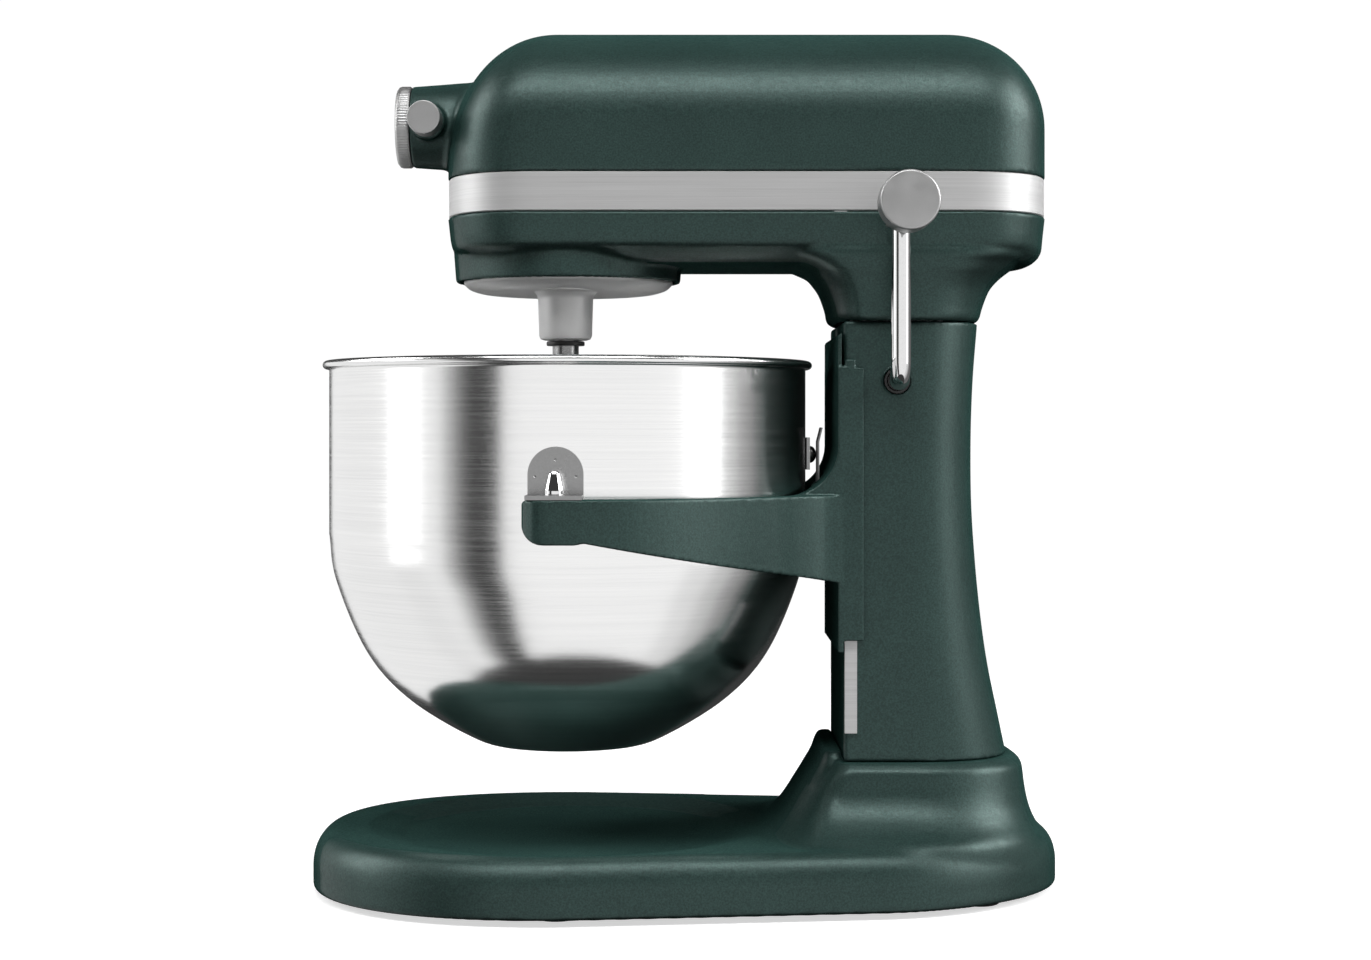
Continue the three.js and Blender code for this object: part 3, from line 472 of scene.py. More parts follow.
def brushed(name, stretch, dark, light, rough_low, rough_high, depth, anisotropic, metallic=1.0):
    """Metal with fine brush lines that run along the directions where stretch is small."""
    material, tree, shader = start_material(name)
    lines = noise(tree, stretch, 1, 4, 0.7)
    broad = noise(tree, tuple(value * 0.22 for value in stretch), 1, 3, 0.6)
    tone = blend_colours(tree, ramp(tree, lines, dark, light), ramp(tree, broad, dark, light), 0.35)
    tree.links.new(tone, shader.inputs["Base Color"])
    tree.links.new(ramp(tree, lines, rough_low, rough_high), shader.inputs["Roughness"])
    bump(tree, shader, lines, depth, 0.5)
    shader.inputs["Metallic"].default_value = metallic
    shader.inputs["Anisotropic"].default_value = anisotropic
    return material


def grained_metal(name, dark, light, rough_low, rough_high, depth, scale, metallic=1.0):
    """Cast, blasted or plated metal with an even fine grain."""
    material, tree, shader = start_material(name)
    grain = noise(tree, (1, 1, 1), scale, 3, 0.6)
    cloud = noise(tree, (1, 1, 1), scale * 0.06, 2, 0.5)
    tone = blend_colours(tree, ramp(tree, grain, dark, light), ramp(tree, cloud, dark, light), 0.5)
    tree.links.new(tone, shader.inputs["Base Color"])
    tree.links.new(ramp(tree, cloud, rough_low, rough_high), shader.inputs["Roughness"])
    bump(tree, shader, grain, depth, 0.6)
    shader.inputs["Metallic"].default_value = metallic
    return material


def dull(name, dark, light, rough_low, rough_high, depth, scale):
    """Plastic, rubber or board: no metal, with a fine grain."""
    material, tree, shader = start_material(name)
    grain = noise(tree, (1, 1, 1), scale, 3, 0.6)
    tree.links.new(ramp(tree, grain, dark, light), shader.inputs["Base Color"])
    tree.links.new(ramp(tree, grain, rough_low, rough_high), shader.inputs["Roughness"])
    bump(tree, shader, grain, depth, 0.6)
    return material


GREEN = green_paint()
BAND = brushed("brushed_trim", (14, 14, 2600), (0.52,) * 3, (0.68,) * 3, 0.42, 0.52, 0.00002, 0.4, 0.55)
STAINLESS = brushed("stainless", (10, 10, 1700), (0.78,) * 3, (0.90, 0.90, 0.895), 0.13, 0.22, 0.00003, 0.5)
BRIGHT_STEEL = grained_metal("bright_steel", (0.27,) * 3, (0.33,) * 3, 0.24, 0.34, 0.00001, 900)
SATIN = grained_metal("satin_silver", (0.40,) * 3, (0.46,) * 3, 0.42, 0.50, 0.00003, 2200)
# Painted light: a lighter copy of satin silver that brightens the planetary disc where it sits in the head's
# shade.
SATIN_PAINTED_LIGHTER = grained_metal("satin_silver_painted_lighter", (0.74,) * 3, (0.82,) * 3, 0.42, 0.50, 0.00003, 2200, 0.3)
CHROME = grained_metal("chrome", (0.72,) * 3, (0.78,) * 3, 0.06, 0.10, 0.000004, 500)
STEEL = grained_metal("steel", (0.34, 0.35, 0.36), (0.44, 0.45, 0.46), 0.3, 0.42, 0.00003, 900)
BRONZE = grained_metal("bronze", (0.42, 0.26, 0.11), (0.52, 0.33, 0.15), 0.32, 0.44, 0.00003, 900)
COPPER = brushed("copper", (900, 900, 900), (0.42, 0.15, 0.06), (0.62, 0.25, 0.11), 0.3, 0.42, 0.00005, 0.0)
RUBBER = dull("rubber", (0.010,) * 3, (0.018,) * 3, 0.75, 0.9, 0.00008, 900)
PLASTIC = dull("black_plastic", (0.014,) * 3, (0.022,) * 3, 0.4, 0.5, 0.00003, 1500)
BOARD = dull("circuit_board", (0.008, 0.075, 0.035), (0.014, 0.11, 0.05), 0.4, 0.55, 0.00002, 700)
SLOT_LOOKS = {
    "green_paint": GREEN,
    "brushed_trim": BAND,
    "satin_silver": SATIN,
    "chrome": CHROME,
    "stainless": STAINLESS,
    "steel": STEEL,
    "bronze": BRONZE,
    "copper": COPPER,
    "rubber": RUBBER,
    "black_plastic": PLASTIC,
    "circuit_board": BOARD,
}


def settle(made, body, slot, nodes, material=None, angle=None):
    """Gives a finished piece its material, shading, body and the CAD nodes that it stands for."""
    made.data.materials.clear()
    made.data.materials.append(material or SLOT_LOOKS[slot])
    smooth(made, angle)
    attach(made, body)
    if nodes:
        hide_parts(*nodes)
    return made


# ---- Base and feet ----

def build_base():
    edge = [base_outline(inset, BASE_BOTTOM + rise) for inset, rise in ((1.6, 0), (0.6, 1), (0.25, 2.5))]
    flank = [base_outline(0.25, z) for z in np.linspace(7, BASE_FLANK_TOP, 4)]
    shoulder = []
    for part in np.linspace(0.05, 1, 14):
        angle = part * math.pi / 2
        z = BASE_FLANK_TOP + (BASE_CREST - BASE_FLANK_TOP) * math.sin(angle)
        shoulder.append(base_outline(0.25 + BASE_ROUND * (1 - math.cos(angle)), z))
    tray = outward(loft("base", [*edge, *flank, *shoulder]))
    dish_points = [(0, 25), (55, 25.3), (78, 26.4), (84, 27.6), (92, 29.3), (100, 31.3), (106, 34)]
    dish_line = spline(dish_points, 40)
    dish_profile = [(0, 25), *[tuple(p) for p in dish_line[1:]], (106, 60), (0, 60)]
    dish = turned("dish", dish_profile, (BOWL_X, 0), segments=160)
    pedestal = levels(
        "pedestal",
        [
            (16, 20, 182.5, 82, 60, 92, 2.1),
            (24, 28, 179.8, 84, 60, 92, 2.1),
            (31, 38, 175.3, 83, 64, 93, 2.2),
            (37, 45, 172, 74, 68, 95, 2.3),
            (44, 50, 169.6, 66.5, 72, 98, 2.4),
            (52, 55, 168, 61.8, 76, 100, 2.5),
            (60, 60.5, 167, 60, 78, 100, 2.5),
            (64, 64, 165.8, 59, 80, 100, 2.5),
            (COLLAR_TOP, 66.5, 161, 55.5, 80, 100, 2.5),
        ],
        40,
    )
    lip = levels(
        "lip",
        [
            (56, 58, 76, 52, 68, 74, 2.6),
            (64, 62.8, 76, 49, 71, 74, 2.6),
            (70, 65.2, 76, 46, 71, 74, 2.6),
            (72, 66.8, 76, 44, 71, 74, 2.6),
        ],
        12,
    )
    room = block("room", (COLUMN_FRONT - GAP, -60, COLLAR_TOP), (90, 60, 90))
    hollow = levels(
        "hollow",
        [
            (1, 42, 172, 76, 66, 92, 2.3),
            (26, 43, 172, 76, 66, 92, 2.3),
            (31, 47, 169, 74, 68, 93, 2.3),
            (37, 53, 166, 67.5, 72, 95, 2.3),
            (44, 58, 164, 61, 78, 98, 2.4),
            (52, 66, 162.5, 57, 84, 100, 2.5),
            (CAVITY_TOP, 76, 160, 54.5, 86, 100, 2.5),
        ],
    )
    under_rings = [base_outline(5, 0), base_outline(4.5, 14), base_outline(8.5, 22), base_outline(15, 27)]
    tray_hollow = outward(loft("tray_hollow", under_rings))
    cut(tray_hollow, turned("dish_under", [(r, z - 4) for r, z in dish_profile], (BOWL_X, 0), segments=96))
    for x, y in FEET:
        cut(hollow, drum("boss", 14, 6, 80, (x, y)))
        cut(tray_hollow, drum("boss", 14, 6, 80, (x, y)))
    cut(tray, dish)
    join(tray, pedestal, cut(lip, room))
    cut(tray, hollow, tray_hollow)
    for x, y in FEET:
        cut(tray, drum("pocket", 11.5, -1, 6, (x, y)))
    cast(tray, 1.4, 8)
    crease = lambda p: np.exp(-(((p[:, 2] - 33) / 9) ** 2)) * (p[:, 0] > 10)
    relax(tray, 14, crease, keep=False)
    settle(tray, "stand", "green_paint", ["base_casting"])
    tray.name = "base_casting_skin"


def build_feet():
    for i, (x, y) in enumerate(FEET):
        profile = rounded([(0, 0), (9.8, 0), (11, 1.6), (11, 5.7), (0, 5.7)], 1)
        foot = turned(f"rubber_foot_pad_{i + 1}", profile, (x, y))
        settle(foot, "stand", "rubber", [f"rubber_foot_{i + 1}"], angle=40)


# ---- Column ----

def build_column():
    rear = [
        (COLUMN_BOTTOM, 158.7),
        (87, 154.7),
        (111, 149.7),
        (134, 146.3),
        (160, 143.6),
        (190, 141.6),
        (222, 141.3),
        (251, 142.3),
        (NECK_BOTTOM - GAP, 144.5),
    ]
    rows = [(z, COLUMN_FRONT, x, COLUMN_HALF_WIDTH, 84, 104, 2.6) for z, x in rear]
    column = levels("column_casting_skin", rows, 60)
    face_low = (COLUMN_FRONT, -COLUMN_HALF_WIDTH, COLUMN_BOTTOM)
    slide_face = block("slide_face", face_low, (84, COLUMN_HALF_WIDTH, NECK_BOTTOM - GAP))
    lower_rear = [(74, 153.5), (87, 151.2), (111, 146.2), (134, 142.8)]
    inner_rear = [*lower_rear, (160, 140.1), (205, 137.8), (300, 140)]
    inner = levels("inner", [(z, 79.5, x, 49, 88, 104, 2.6) for z, x in inner_rear])
    join(column, slide_face)
    cut(column, inner, block("slot", (60, -9, 205), (90, 9, 300)))
    cut(column, drum("lever_hole", 6.5, -60, -40, (LEVER_X, LEVER_Z), "y"))
    for x, y in BOLTS:
        cut(column, drum("bolt_hole", 4.2, 60, 90, (x, y)))
    cast(column, 1.2, 6)
    settle(column, "stand", "green_paint", ["column_casting"])


def build_guides():
    for side, word in ((-1, "right"), (1, "left")):
        near, far = sorted((side * (COLUMN_HALF_WIDTH + GAP), side * (COLUMN_HALF_WIDTH + 1.5)))
        strip = block(f"guide_strip_{word}_bright", (76, near, 81.8), (81.9, far, 250))
        settle(strip, "stand", "brushed_trim", [f"guide_strip_{word}"], angle=30)


# ---- Head ----

def build_lower_housing():
    shell = levels(
        "lower_housing_skin",
        [
            (HEAD_FLOOR, *head_plan(19.5, 10)),
            (307.9, *head_plan(16.5, 7.5)),
            (308.9, *head_plan(13, 5.5)),
            (311.2, *head_plan(8.4, 3)),
            (313.1, *head_plan(5.2, 2)),
            (314.6, *head_plan(2.9, 1.6)),
            (316.2, *head_plan(1.9, 1.4)),
            (320, *head_plan(1.1, 1.1)),
            (BAND_BOTTOM, *head_plan(0)),
        ],
    )
    neck = levels(
        "neck",
        [
            (NECK_BOTTOM, 75, 142.5, 55, 88, 104, 2.6),
            (280.2, 72.4, 144.4, 56.4, 86.5, 104, 2.6),
            (282, 71, 145.6, 56.9, 86, 104, 2.6),
            (287, 70, 147, 57.2, 86, 104, 2.6),
            (295, 67, 150.2, 58, 85, 106, 2.6),
            (300, 63.5, 154.3, 59, 83, 110, 2.6),
            (303.5, 60, 158.5, 60, 81, 114, 2.6),
            (307.3, 51, 164, 60.5, 78, 118, 2.6),
            (311, 42, 170.8, 61, 74, 124, 2.6),
            (316, 34, 173, 60, 70, 126, 2.6),
        ],
        48,
    )
    skirt_profile = rounded([(0, SKIRT_BOTTOM), (55.8, SKIRT_BOTTOM), (SKIRT_RADIUS, 315.5), (0, 315.5)], 1.2)
    skirt = turned("skirt", skirt_profile, (BOWL_X, 0), segments=160)
    insets = [(311.5, 17), (314, 11), (317, 6), (321, 3), (BAND_BOTTOM + 1, 3)]
    head_hollow = levels("head_hollow", [(z, *head_plan(inset)) for z, inset in insets])
    neck_hollow = levels(
        "neck_hollow",
        [
            (NECK_BOTTOM - 1, 75.5, 141.5, 53.3, 89, 104, 2.6),
            (295, 72, 146, 54.3, 89, 106, 2.6),
            (303.5, 66, 153.5, 55.8, 86, 114, 2.6),
            (314, 50, 166, 57.5, 76, 122, 2.6),
        ],
    )
    join(shell, neck, skirt)
    cut(shell, head_hollow, neck_hollow)
    cut(shell, drum("well", 53.6, 290, 309.4, (BOWL_X, 0), segments=160))
    cut(shell, drum("seat", 9.3, 300, 320, (BOWL_X, 0)), drum("cord_hole", 6.6, 165, 190, (34, 321), "x"))
    cast(shell, 1.1, 6)
    settle(shell, "stand", "green_paint", ["lower_housing"])


def build_band():
    rows = [
        (BAND_BOTTOM + GAP, *head_plan(0.9)),
        (BAND_BOTTOM + GAP + 0.5, *head_plan(0.4)),
        (BAND_TOP - 0.5, *head_plan(0.4)),
        (BAND_TOP, *head_plan(0.9)),
    ]
    band = levels("trim_band_bright", rows, steps=48)
    hollow = levels("hollow", [(BAND_BOTTOM - 1, *head_plan(2.9)), (BAND_TOP + 1, *head_plan(2.9))], steps=48)
    front, rear, bottom, top = SPEED_SLOT
    cut(band, hollow, block("slot", (front, 50, bottom), (rear, 70, top)))
    settle(band, "stand", "brushed_trim", ["trim_band"], angle=30)


def near_hub_root(points):
    """A weight that is 1 where the hub's sleeve leaves the head's front, for a soft fillet there."""
    rise = np.clip((points[:, 2] - BROW) / (HEAD_TOP - BROW), 0, 1)
    tip = (1 - rise**2.1) ** (1 / 2.1)
    across = np.clip(np.abs(points[:, 1]) / HEAD_HALF_WIDTH, 0, 1)
    nose = CROWN_FRONT - (CROWN_FRONT - HEAD_FRONT) * tip
    nose += HEAD_CORNER * np.maximum(tip, 0.1) * (1 - (1 - across**2.6) ** (1 / 2.6))
    from_axis = np.hypot(points[:, 1], points[:, 2] - HUB_Z)
    return np.exp(-(((points[:, 0] - nose) / 5) ** 2) - ((from_axis - 22.5) / 4) ** 2)


def build_upper_housing():
    rises = np.sin(np.linspace(0, 1, 30) * math.pi / 2)
    rows = [head_level(z, 0) for z in np.linspace(BAND_TOP + GAP, SHOULDER, 12)]
    rows += [head_level(SHOULDER + rise * (HEAD_TOP - SHOULDER - 0.02), 0) for rise in rises[1:]]
    shell = levels("upper_housing_skin", rows)
    sleeve = [(0, -136), (20.1, -136), (21.2, -121), (22.4, -106), (22.4, -96), (0, -96)]
    join(shell, turned("sleeve", sleeve, (0, HUB_Z), "x", 128))
    join(shell, drum("boss", 9, -28, -10, (KNOB_X, HUB_Z), "y"))
    cut(shell, drum("bore", 16.4, -140, -90, (0, HUB_Z), "x", 96))
    cast(shell, 1.1, 6)
    relax(shell, 30, near_hub_root, keep=False)
    hollow = levels("hollow", [head_level(z, 3) for z in (BAND_TOP - 1, SHOULDER, 389, 400, 409, 415, 419)])
    cut(shell, hollow)
    cut(shell, drum("bore", 16.4, -140, -90, (0, HUB_Z), "x", 96))
    cut(shell, drum("screw_hole", 3.5, -30, -10, (KNOB_X, HUB_Z), "y", 32))
    settle(shell, "stand", "green_paint", ["upper_housing"])


# ---- Hub parts ----

def build_hub_cap():
    """A domed cap whose edge is knurled all round."""
    count = 88
    profile = [(14, -143.5), (18.6, -143.2), (19.9, -142.2), (20.3, -141), (20.3, -137.2), (19.7, -136.3)]
    segments = count * 6
    rings = []
    for radius, x in [(0.01, -143.5), *profile, (0.01, -136.3)]:
        ring = []
        for i in range(segments):
            angle = i * 2 * math.pi / segments
            notch = 0.28 * max(0, math.cos(angle * count)) if -141.8 < x < -136.9 else 0
            r = max(radius - notch, 0.01)
            ring.append((x, r * math.cos(angle), HUB_Z + r * math.sin(angle)))
        rings.append(ring)
    cap = outward(loft("hub_cap_knurled", rings))
    settle(cap, "hub_cover", "satin_silver", ["hub_cap"], angle=35)


def build_attachment_knob():
    profile = rounded([(0, -42.3), (7.9, -42.3), (8.15, -41.6), (8.15, -29), (0, -29)], 0.5)
    knob = turned("attachment_knob_turned", profile, (KNOB_X, HUB_Z), "y")
    join(knob, drum("stem", 3, -29.5, -17.2, (KNOB_X, HUB_Z), "y", 32))
    settle(knob, "thumb_screw", "satin_silver", ["attachment_knob"], angle=35)


# ---- Planetary ----

def build_planetary():
    disc_profile = rounded(
        [(0, 294), (38, 294), (44.5, 294.8), (49.5, 296.6), (52, 299.2), (52, 300.8), (0, 300.8)], 3, 6
    )
    disc = turned("planetary_housing_turned", disc_profile, (BOWL_X, 0), segments=192)
    flare = [(0, 270.4), (10.6, 270.4), (12.2, 271), (12.9, 272.6), (13.4, 290)]
    turn = np.linspace(0.2, math.pi / 2, 8)
    flare += [(13.4 + 4 * (1 - math.cos(a)), 290 + 4.4 * math.sin(a)) for a in turn]
    flare += [(17.4, 296), (0, 296)]
    join(disc, turned("boss", flare, (BOWL_X, -BEATER_OFFSET), segments=96))
    bore = drum("bore", 6.9, 260, 310, (BOWL_X, -BEATER_OFFSET))
    cut(disc, bore, drum("centre", 5.4, 290, 310, (BOWL_X, 0)))
    # The disc takes the lighter copy of satin silver, painted light that lifts its shaded underside.
    settle(disc, "planetary", "satin_silver", ["planetary_housing"], SATIN_PAINTED_LIGHTER, angle=30)


def build_beater_shaft():
    spot = (BOWL_X, -BEATER_OFFSET)
    profile = rounded([(0, 226), (5.6, 226), (6.4, 227.5), (6.4, 309), (0, 309)], 0.8)
    shaft = turned("beater_shaft_turned", profile, spot, segments=64)
    pin = rounded([(0, BOWL_X - 10.5), (2.3, BOWL_X - 10.5), (2.3, BOWL_X + 10.5), (0, BOWL_X + 10.5)], 0.5)
    join(shaft, turned("pin", pin, (-BEATER_OFFSET, 238), "x", 32))
    settle(shaft, "beater_drive", "chrome", ["beater_shaft"], BRIGHT_STEEL, angle=35)
    rim = rounded([(6.7, 267.7), (9.1, 267.7), (9.3, 268.2), (9.3, 269.4), (8.9, 269.9), (6.7, 269.9)], 0.3)
    collar = turned("shaft_collar_turned", [*rim, rim[0]], spot, segments=64)
    settle(collar, "beater_drive", "black_plastic", ["shaft_collar"], angle=35)


# ---- Lift lever ----

def build_lever():
    bend = 10
    straight = [(LEVER_X, y, LEVER_Z) for y in np.linspace(-8.6, LEVER_Y + bend, 20)]
    elbow = [
        (LEVER_X, LEVER_Y + bend - bend * math.sin(a), LEVER_Z + bend - bend * math.cos(a))
        for a in np.linspace(0, math.pi / 2, 18)[1:-1]
    ]
    upright = [(LEVER_X, LEVER_Y, z) for z in np.linspace(LEVER_Z + bend, 326, 20)]
    rod = sweep("lift_lever_rod_bent", [*straight, *elbow, *upright], circle(4.8, 40))
    settle(rod, "lift_lever", "chrome", ["lift_lever_rod"], angle=50)

    side = [(13.3, -100), (14, -99.2), (14, -80.5), (12, -78), (8.4, -76.9)]
    profile = rounded([(0, -100), *side, (0, -76.9)], 1.1)
    knob = turned("lift_knob_turned", profile, (LEVER_X + 2, LEVER_TOP), "y", 128)
    cup = rounded([(0, 322), (6.6, 322), (7.2, 323), (7.2, 335), (5.5, 336), (0, 336)], 0.8)
    join(knob, turned("cup", cup, (LEVER_X, LEVER_Y), segments=64))
    join(knob, drum("neck", 6.4, -78, LEVER_Y, (LEVER_X, LEVER_TOP - 2), "y"))
    cut(knob, drum("socket", 5.1, 320, 326.3, (LEVER_X, LEVER_Y)))
    settle(knob, "lift_lever", "satin_silver", ["lift_knob"], angle=30)


# ---- Carriage and yoke ----

def yoke_outline():
    inner = BOWL_RADIUS + 3.3
    root = [(CARRIAGE_BACK, CARRIAGE_HALF_WIDTH), (65, 60.5), (55, 69), (40, 86)]
    outer = [*root, (12, 115), (-18, 135), (-42, 142.4), (-58, ARM_REACH - 0.3)]
    pad = [(-66, 142.0), (-70.5, 139), (-72.8, 134), (-73.1, 127)]
    left = [tuple(p) for p in spline([*outer, *pad], 60)]
    start = math.acos((-71.5 - BOWL_X) / inner)
    arc = [
        (BOWL_X + inner * math.cos(a), inner * math.sin(a)) for a in np.linspace(start, -start, 120)
    ]
    return [*left, *arc, *[(x, -y) for x, y in reversed(left)]]


def arm_side_view():
    """The arms from the side: a rounded pad, then a lower edge that falls towards the column."""
    turn = np.linspace(0, math.pi / 2, 10)
    corner = [(-73.2 + 10 * (1 - math.cos(a)), 185.6 - 10 * math.sin(a)) for a in turn]
    return [
        (-71.6, ARM_TOP),
        (-73.2, ARM_TOP - 1.6),
        *corner,
        (-49, 175.6),
        (-45, 176.4),
        (66, 155),
        (CARRIAGE_BACK, 153.3),
        (CARRIAGE_BACK, ARM_TOP),
    ]


def build_carriage():
    arms = slab("carriage_yoke_skin", yoke_outline(), 150, ARM_TOP + 2, "z")
    arms = boolean(arms, slab("side_view", arm_side_view(), -150, 150), "INTERSECT")
    radius = 24
    top = ARM_TOP + radius
    root = CARRIAGE_FRONT - radius
    turns = np.linspace(0, math.pi / 2, 24)
    arc = [(root + radius * math.cos(a), top - radius * math.sin(a)) for a in turns]
    profile = [(CARRIAGE_BACK, top), *arc, (root, 190), (CARRIAGE_BACK, 190)]
    join(arms, slab("fillet", profile, -CARRIAGE_HALF_WIDTH, CARRIAGE_HALF_WIDTH))
    cut(arms, drum("bowl_room", BOWL_RADIUS + 3.3, ARM_TOP - 60, 300, (BOWL_X, 0), segments=200))
    face_low = (CARRIAGE_FRONT, -CARRIAGE_HALF_WIDTH, 120.5)
    join(arms, block("face", face_low, (CARRIAGE_BACK, CARRIAGE_HALF_WIDTH, 257)))
    head = [(CARRIAGE_FRONT, 250), (CARRIAGE_FRONT, 271.5), (74.4, 273.5), (74.4, 250)]
    join(arms, slab("head", head, -56, 56))
    for side in (-1, 1):
        near, far = sorted((side * 54.3, side * CARRIAGE_HALF_WIDTH))
        join(arms, block("flange", (CARRIAGE_BACK - 1, near, 126.2), (84.8, far, 256.2)))
        near, far = sorted((side * 54.3, side * (CARRIAGE_HALF_WIDTH - 0.4)))
        join(arms, block("tab", (76.2, near, 255), (81, far, 260.5)))
        cut(arms, drum("pin_hole", 3.3, 184, 210, (BOWL_X, side * PIN_Y), segments=32))
    cut(arms, block("clip_room", (60, -12, CLIP_SEAT), (CLIP_BACK, 12, 232)))
    cast(arms, 0.8, 6)
    settle(arms, "carriage", "green_paint", ["carriage_yoke"])


def build_locating_pins():
    flank = [(3, 185), (3, 196), (4.35, 196), (4.35, 199.5), (2.5, 207.3), (1.4, 208.1)]
    for side, word in ((-1, "right"), (1, "left")):
        profile = rounded([(0, 185), *flank, (0, 208.1)], 0.5)
        pin = turned(f"locating_pin_{word}_turned", profile, (BOWL_X, side * PIN_Y), segments=64)
        settle(pin, "carriage", "chrome", [f"locating_pin_{word}"], angle=40)


# ---- Bowl ----

def bowl_wall(offset, count):
    wall_line = [(BOWL_RADIUS, 176), (114.8, 152.6), (99.6, 117), (78.5, 93.4), (46, 73.6), (27.6, 69.7)]
    points = spline(wall_line, count)
    tangents = np.gradient(points, axis=0)
    tangents /= np.linalg.norm(tangents, axis=1)[:, None]
    return [(r + tz * offset, z - tr * offset) for (r, z), (tr, tz) in zip(points, tangents)]


def build_bowl():
    outer = bowl_wall(0, 56)[::-1]
    inner = bowl_wall(BOWL_SHEET, 56)
    side = [(BOWL_RADIUS, z) for z in np.linspace(180, 255, 12)]
    inside = [(BOWL_RADIUS - BOWL_SHEET, z) for z in np.linspace(256, 180, 12)]
    roll_centre = (119.35, 258.65)
    roll = [
        (roll_centre[0] + 2.2 * math.cos(a), roll_centre[1] + 2.05 * math.sin(a))
        for a in np.linspace(math.radians(-118), math.radians(178), 22)
    ]
    flat = [(r, 69.7 + 0.02 * (r / 27.6)) for r in (8, 16, 23)]
    flat_inside = [(r, 69.7 + BOWL_SHEET) for r in (22, 12)]
    profile = [(0, 69.7), *flat, *outer, *side, *roll, *inside, *inner, *flat_inside, (0, 69.7 + BOWL_SHEET)]
    bowl = turned("bowl_shell_spun", [tuple(map(float, p)) for p in profile], (BOWL_X, 0), segments=256)
    settle(bowl, "bowl", "stainless", ["bowl_shell"])


def build_ears():
    half_width = 12.6
    arch_z = 219.1 - half_width
    half_turn = np.linspace(0, math.pi, 40)
    arch = [(BOWL_X + half_width * math.cos(a), arch_z + half_width * math.sin(a)) for a in half_turn]
    for side, word in ((-1, "right"), (1, "left")):
        low, high = sorted((side * 118.7, side * 120.2))
        outline = [*arch, (BOWL_X - half_width, 195.7), (BOWL_X + half_width, 195.7)]
        ear = slab(f"bowl_ear_{word}_plate", outline, low, high)
        near, far = sorted((side * 119, side * 141))
        join(ear, block("tab", (BOWL_X - half_width, near, 195.6), (BOWL_X + half_width, far, 197.6)))
        cut(ear, drum("pin_hole", 4.9, 190, 200, (BOWL_X, side * PIN_Y), segments=48))
        for dx, z in ((0, 213.1), (-9.3, 205.7), (9.3, 205.7)):
            cone = [(0, side * 119.6), (1.0, side * 120.5), (0, side * 120.5)]
            cut(ear, turned("dimple", cone, (BOWL_X + dx, z), "y", 24))
        settle(ear, "bowl", "stainless", [f"bowl_ear_{word}"], BRIGHT_STEEL, angle=30)


def build_handle():
    near = BOWL_RADIUS + GAP
    far = 160
    route = [(near, 236), (near + 10, 236.5), (far - 8, 233), (far, 222), (far - 1, 200), (far - 7, 178)]
    foot = [(far - 20, 167), (near + 8, 166), (near, 166.5)]
    line = spline([*route, *foot], 90)
    angle = math.radians(135)
    place = lambda r, z: (BOWL_X + r * math.cos(angle), r * math.sin(angle), z)
    section = rounded([(-2.2, 0, 1), (-2.2, -11), (2.2, -11), (2.2, 11), (-2.2, 11), (-2.2, 0.2, 1)], 1.5)
    loop = sweep("bowl_handle_strip", [place(r, z) for r, z in line], section, up=(0, 0, 1.0))
    cut(loop, drum("bowl_room", near, 100, 300, (BOWL_X, 0), segments=256))
    settle(loop, "bowl", "stainless", ["bowl_handle"], BRIGHT_STEEL, angle=40)


def build_rear_stud():
    back = BOWL_X + BOWL_RADIUS + GAP
    plate = block("bowl_rear_plate", (back, -10, 207), (back + 1.6, 10, 223))
    crown = [(4.2 * math.cos(a), back + 2.2 + 3 * math.sin(a)) for a in np.linspace(0, 1.45, 8)]
    dome = [(4.2, back + 1.2), *crown]
    join(plate, turned("stud", [(0, back + 1.2), *dome, (0, back + 5.2)], (0, 214.5), "x", 48))
    settle(plate, "bowl", "stainless", ["bowl_rear_stud"], BRIGHT_STEEL, angle=40)
    low = CLIP_SEAT + GAP
    foot = [(CLIP_BACK - GAP, low + 1), (CLIP_BACK - GAP, low), (65.6, low)]
    leaf = [(65.6, 221), (67.4, 228), (68.1, 227.8), (66.4, 220.8), (66.4, low + 1)]
    clip = slab("bowl_clip_leaf", [*foot, *leaf], -9, 9)
    settle(clip, "carriage", "steel", ["bowl_clip"], BRIGHT_STEEL, angle=30)


# ---- Speed control and gland ----

def build_speed_control():
    front, rear, bottom, top = SPEED_SLOT
    low_corner = (58, HEAD_HALF_WIDTH - 0.1, 333.5)
    plate = block("speed_plate_frame", low_corner, (126, HEAD_HALF_WIDTH + 1.3, 346.5))
    cut(plate, block("slot", (front, 60, bottom), (rear, 66, top)))
    bevel = plate.modifiers.new("Edge", "BEVEL")
    bevel.width = 0.4 * MM
    bevel.segments = 3
    bake(plate)
    settle(plate, "stand", "satin_silver", ["speed_plate"], angle=30)
    lever = block("speed_lever_knob", (68, 52, 337), (76, 68, 343))
    cap = rounded([(0, 66), (5.6, 66), (7, 67.4), (7, 74.6), (5.6, 76), (0, 76)], 0.8)
    join(lever, turned("cap", cap, (72, 340), "y", 64))
    settle(lever, "speed_control", "black_plastic", ["speed_lever"], angle=35)


def build_gland():
    rim = rounded([(3.6, 168), (6.2, 168), (6.2, 179.6), (5.4, 180.5), (3.6, 180.5), (3.6, 168)], 0.5)
    gland = turned("cord_gland_ring", [*rim[:-1], rim[0]], (34, 321), "x", 48)
    settle(gland, "stand", "rubber", ["cord_gland"], angle=35)


# ---- Inner parts stay as the frame's own solids ----

def dress_inner_parts():
    looks = {entry["node"]: entry["material_slot"] for entry in frame["record"]["subparts"]}
    for name, made in frame["nodes"].items():
        made.data.materials.clear()
        made.data.materials.append(SLOT_LOOKS[looks[name]])
        bevel = made.modifiers.new("Edge", "BEVEL")
        bevel.width = 0.25 * MM
        bevel.segments = 2
        bevel.limit_method = "ANGLE"
        bevel.angle_limit = math.radians(40)


# ---- Studio and camera ----

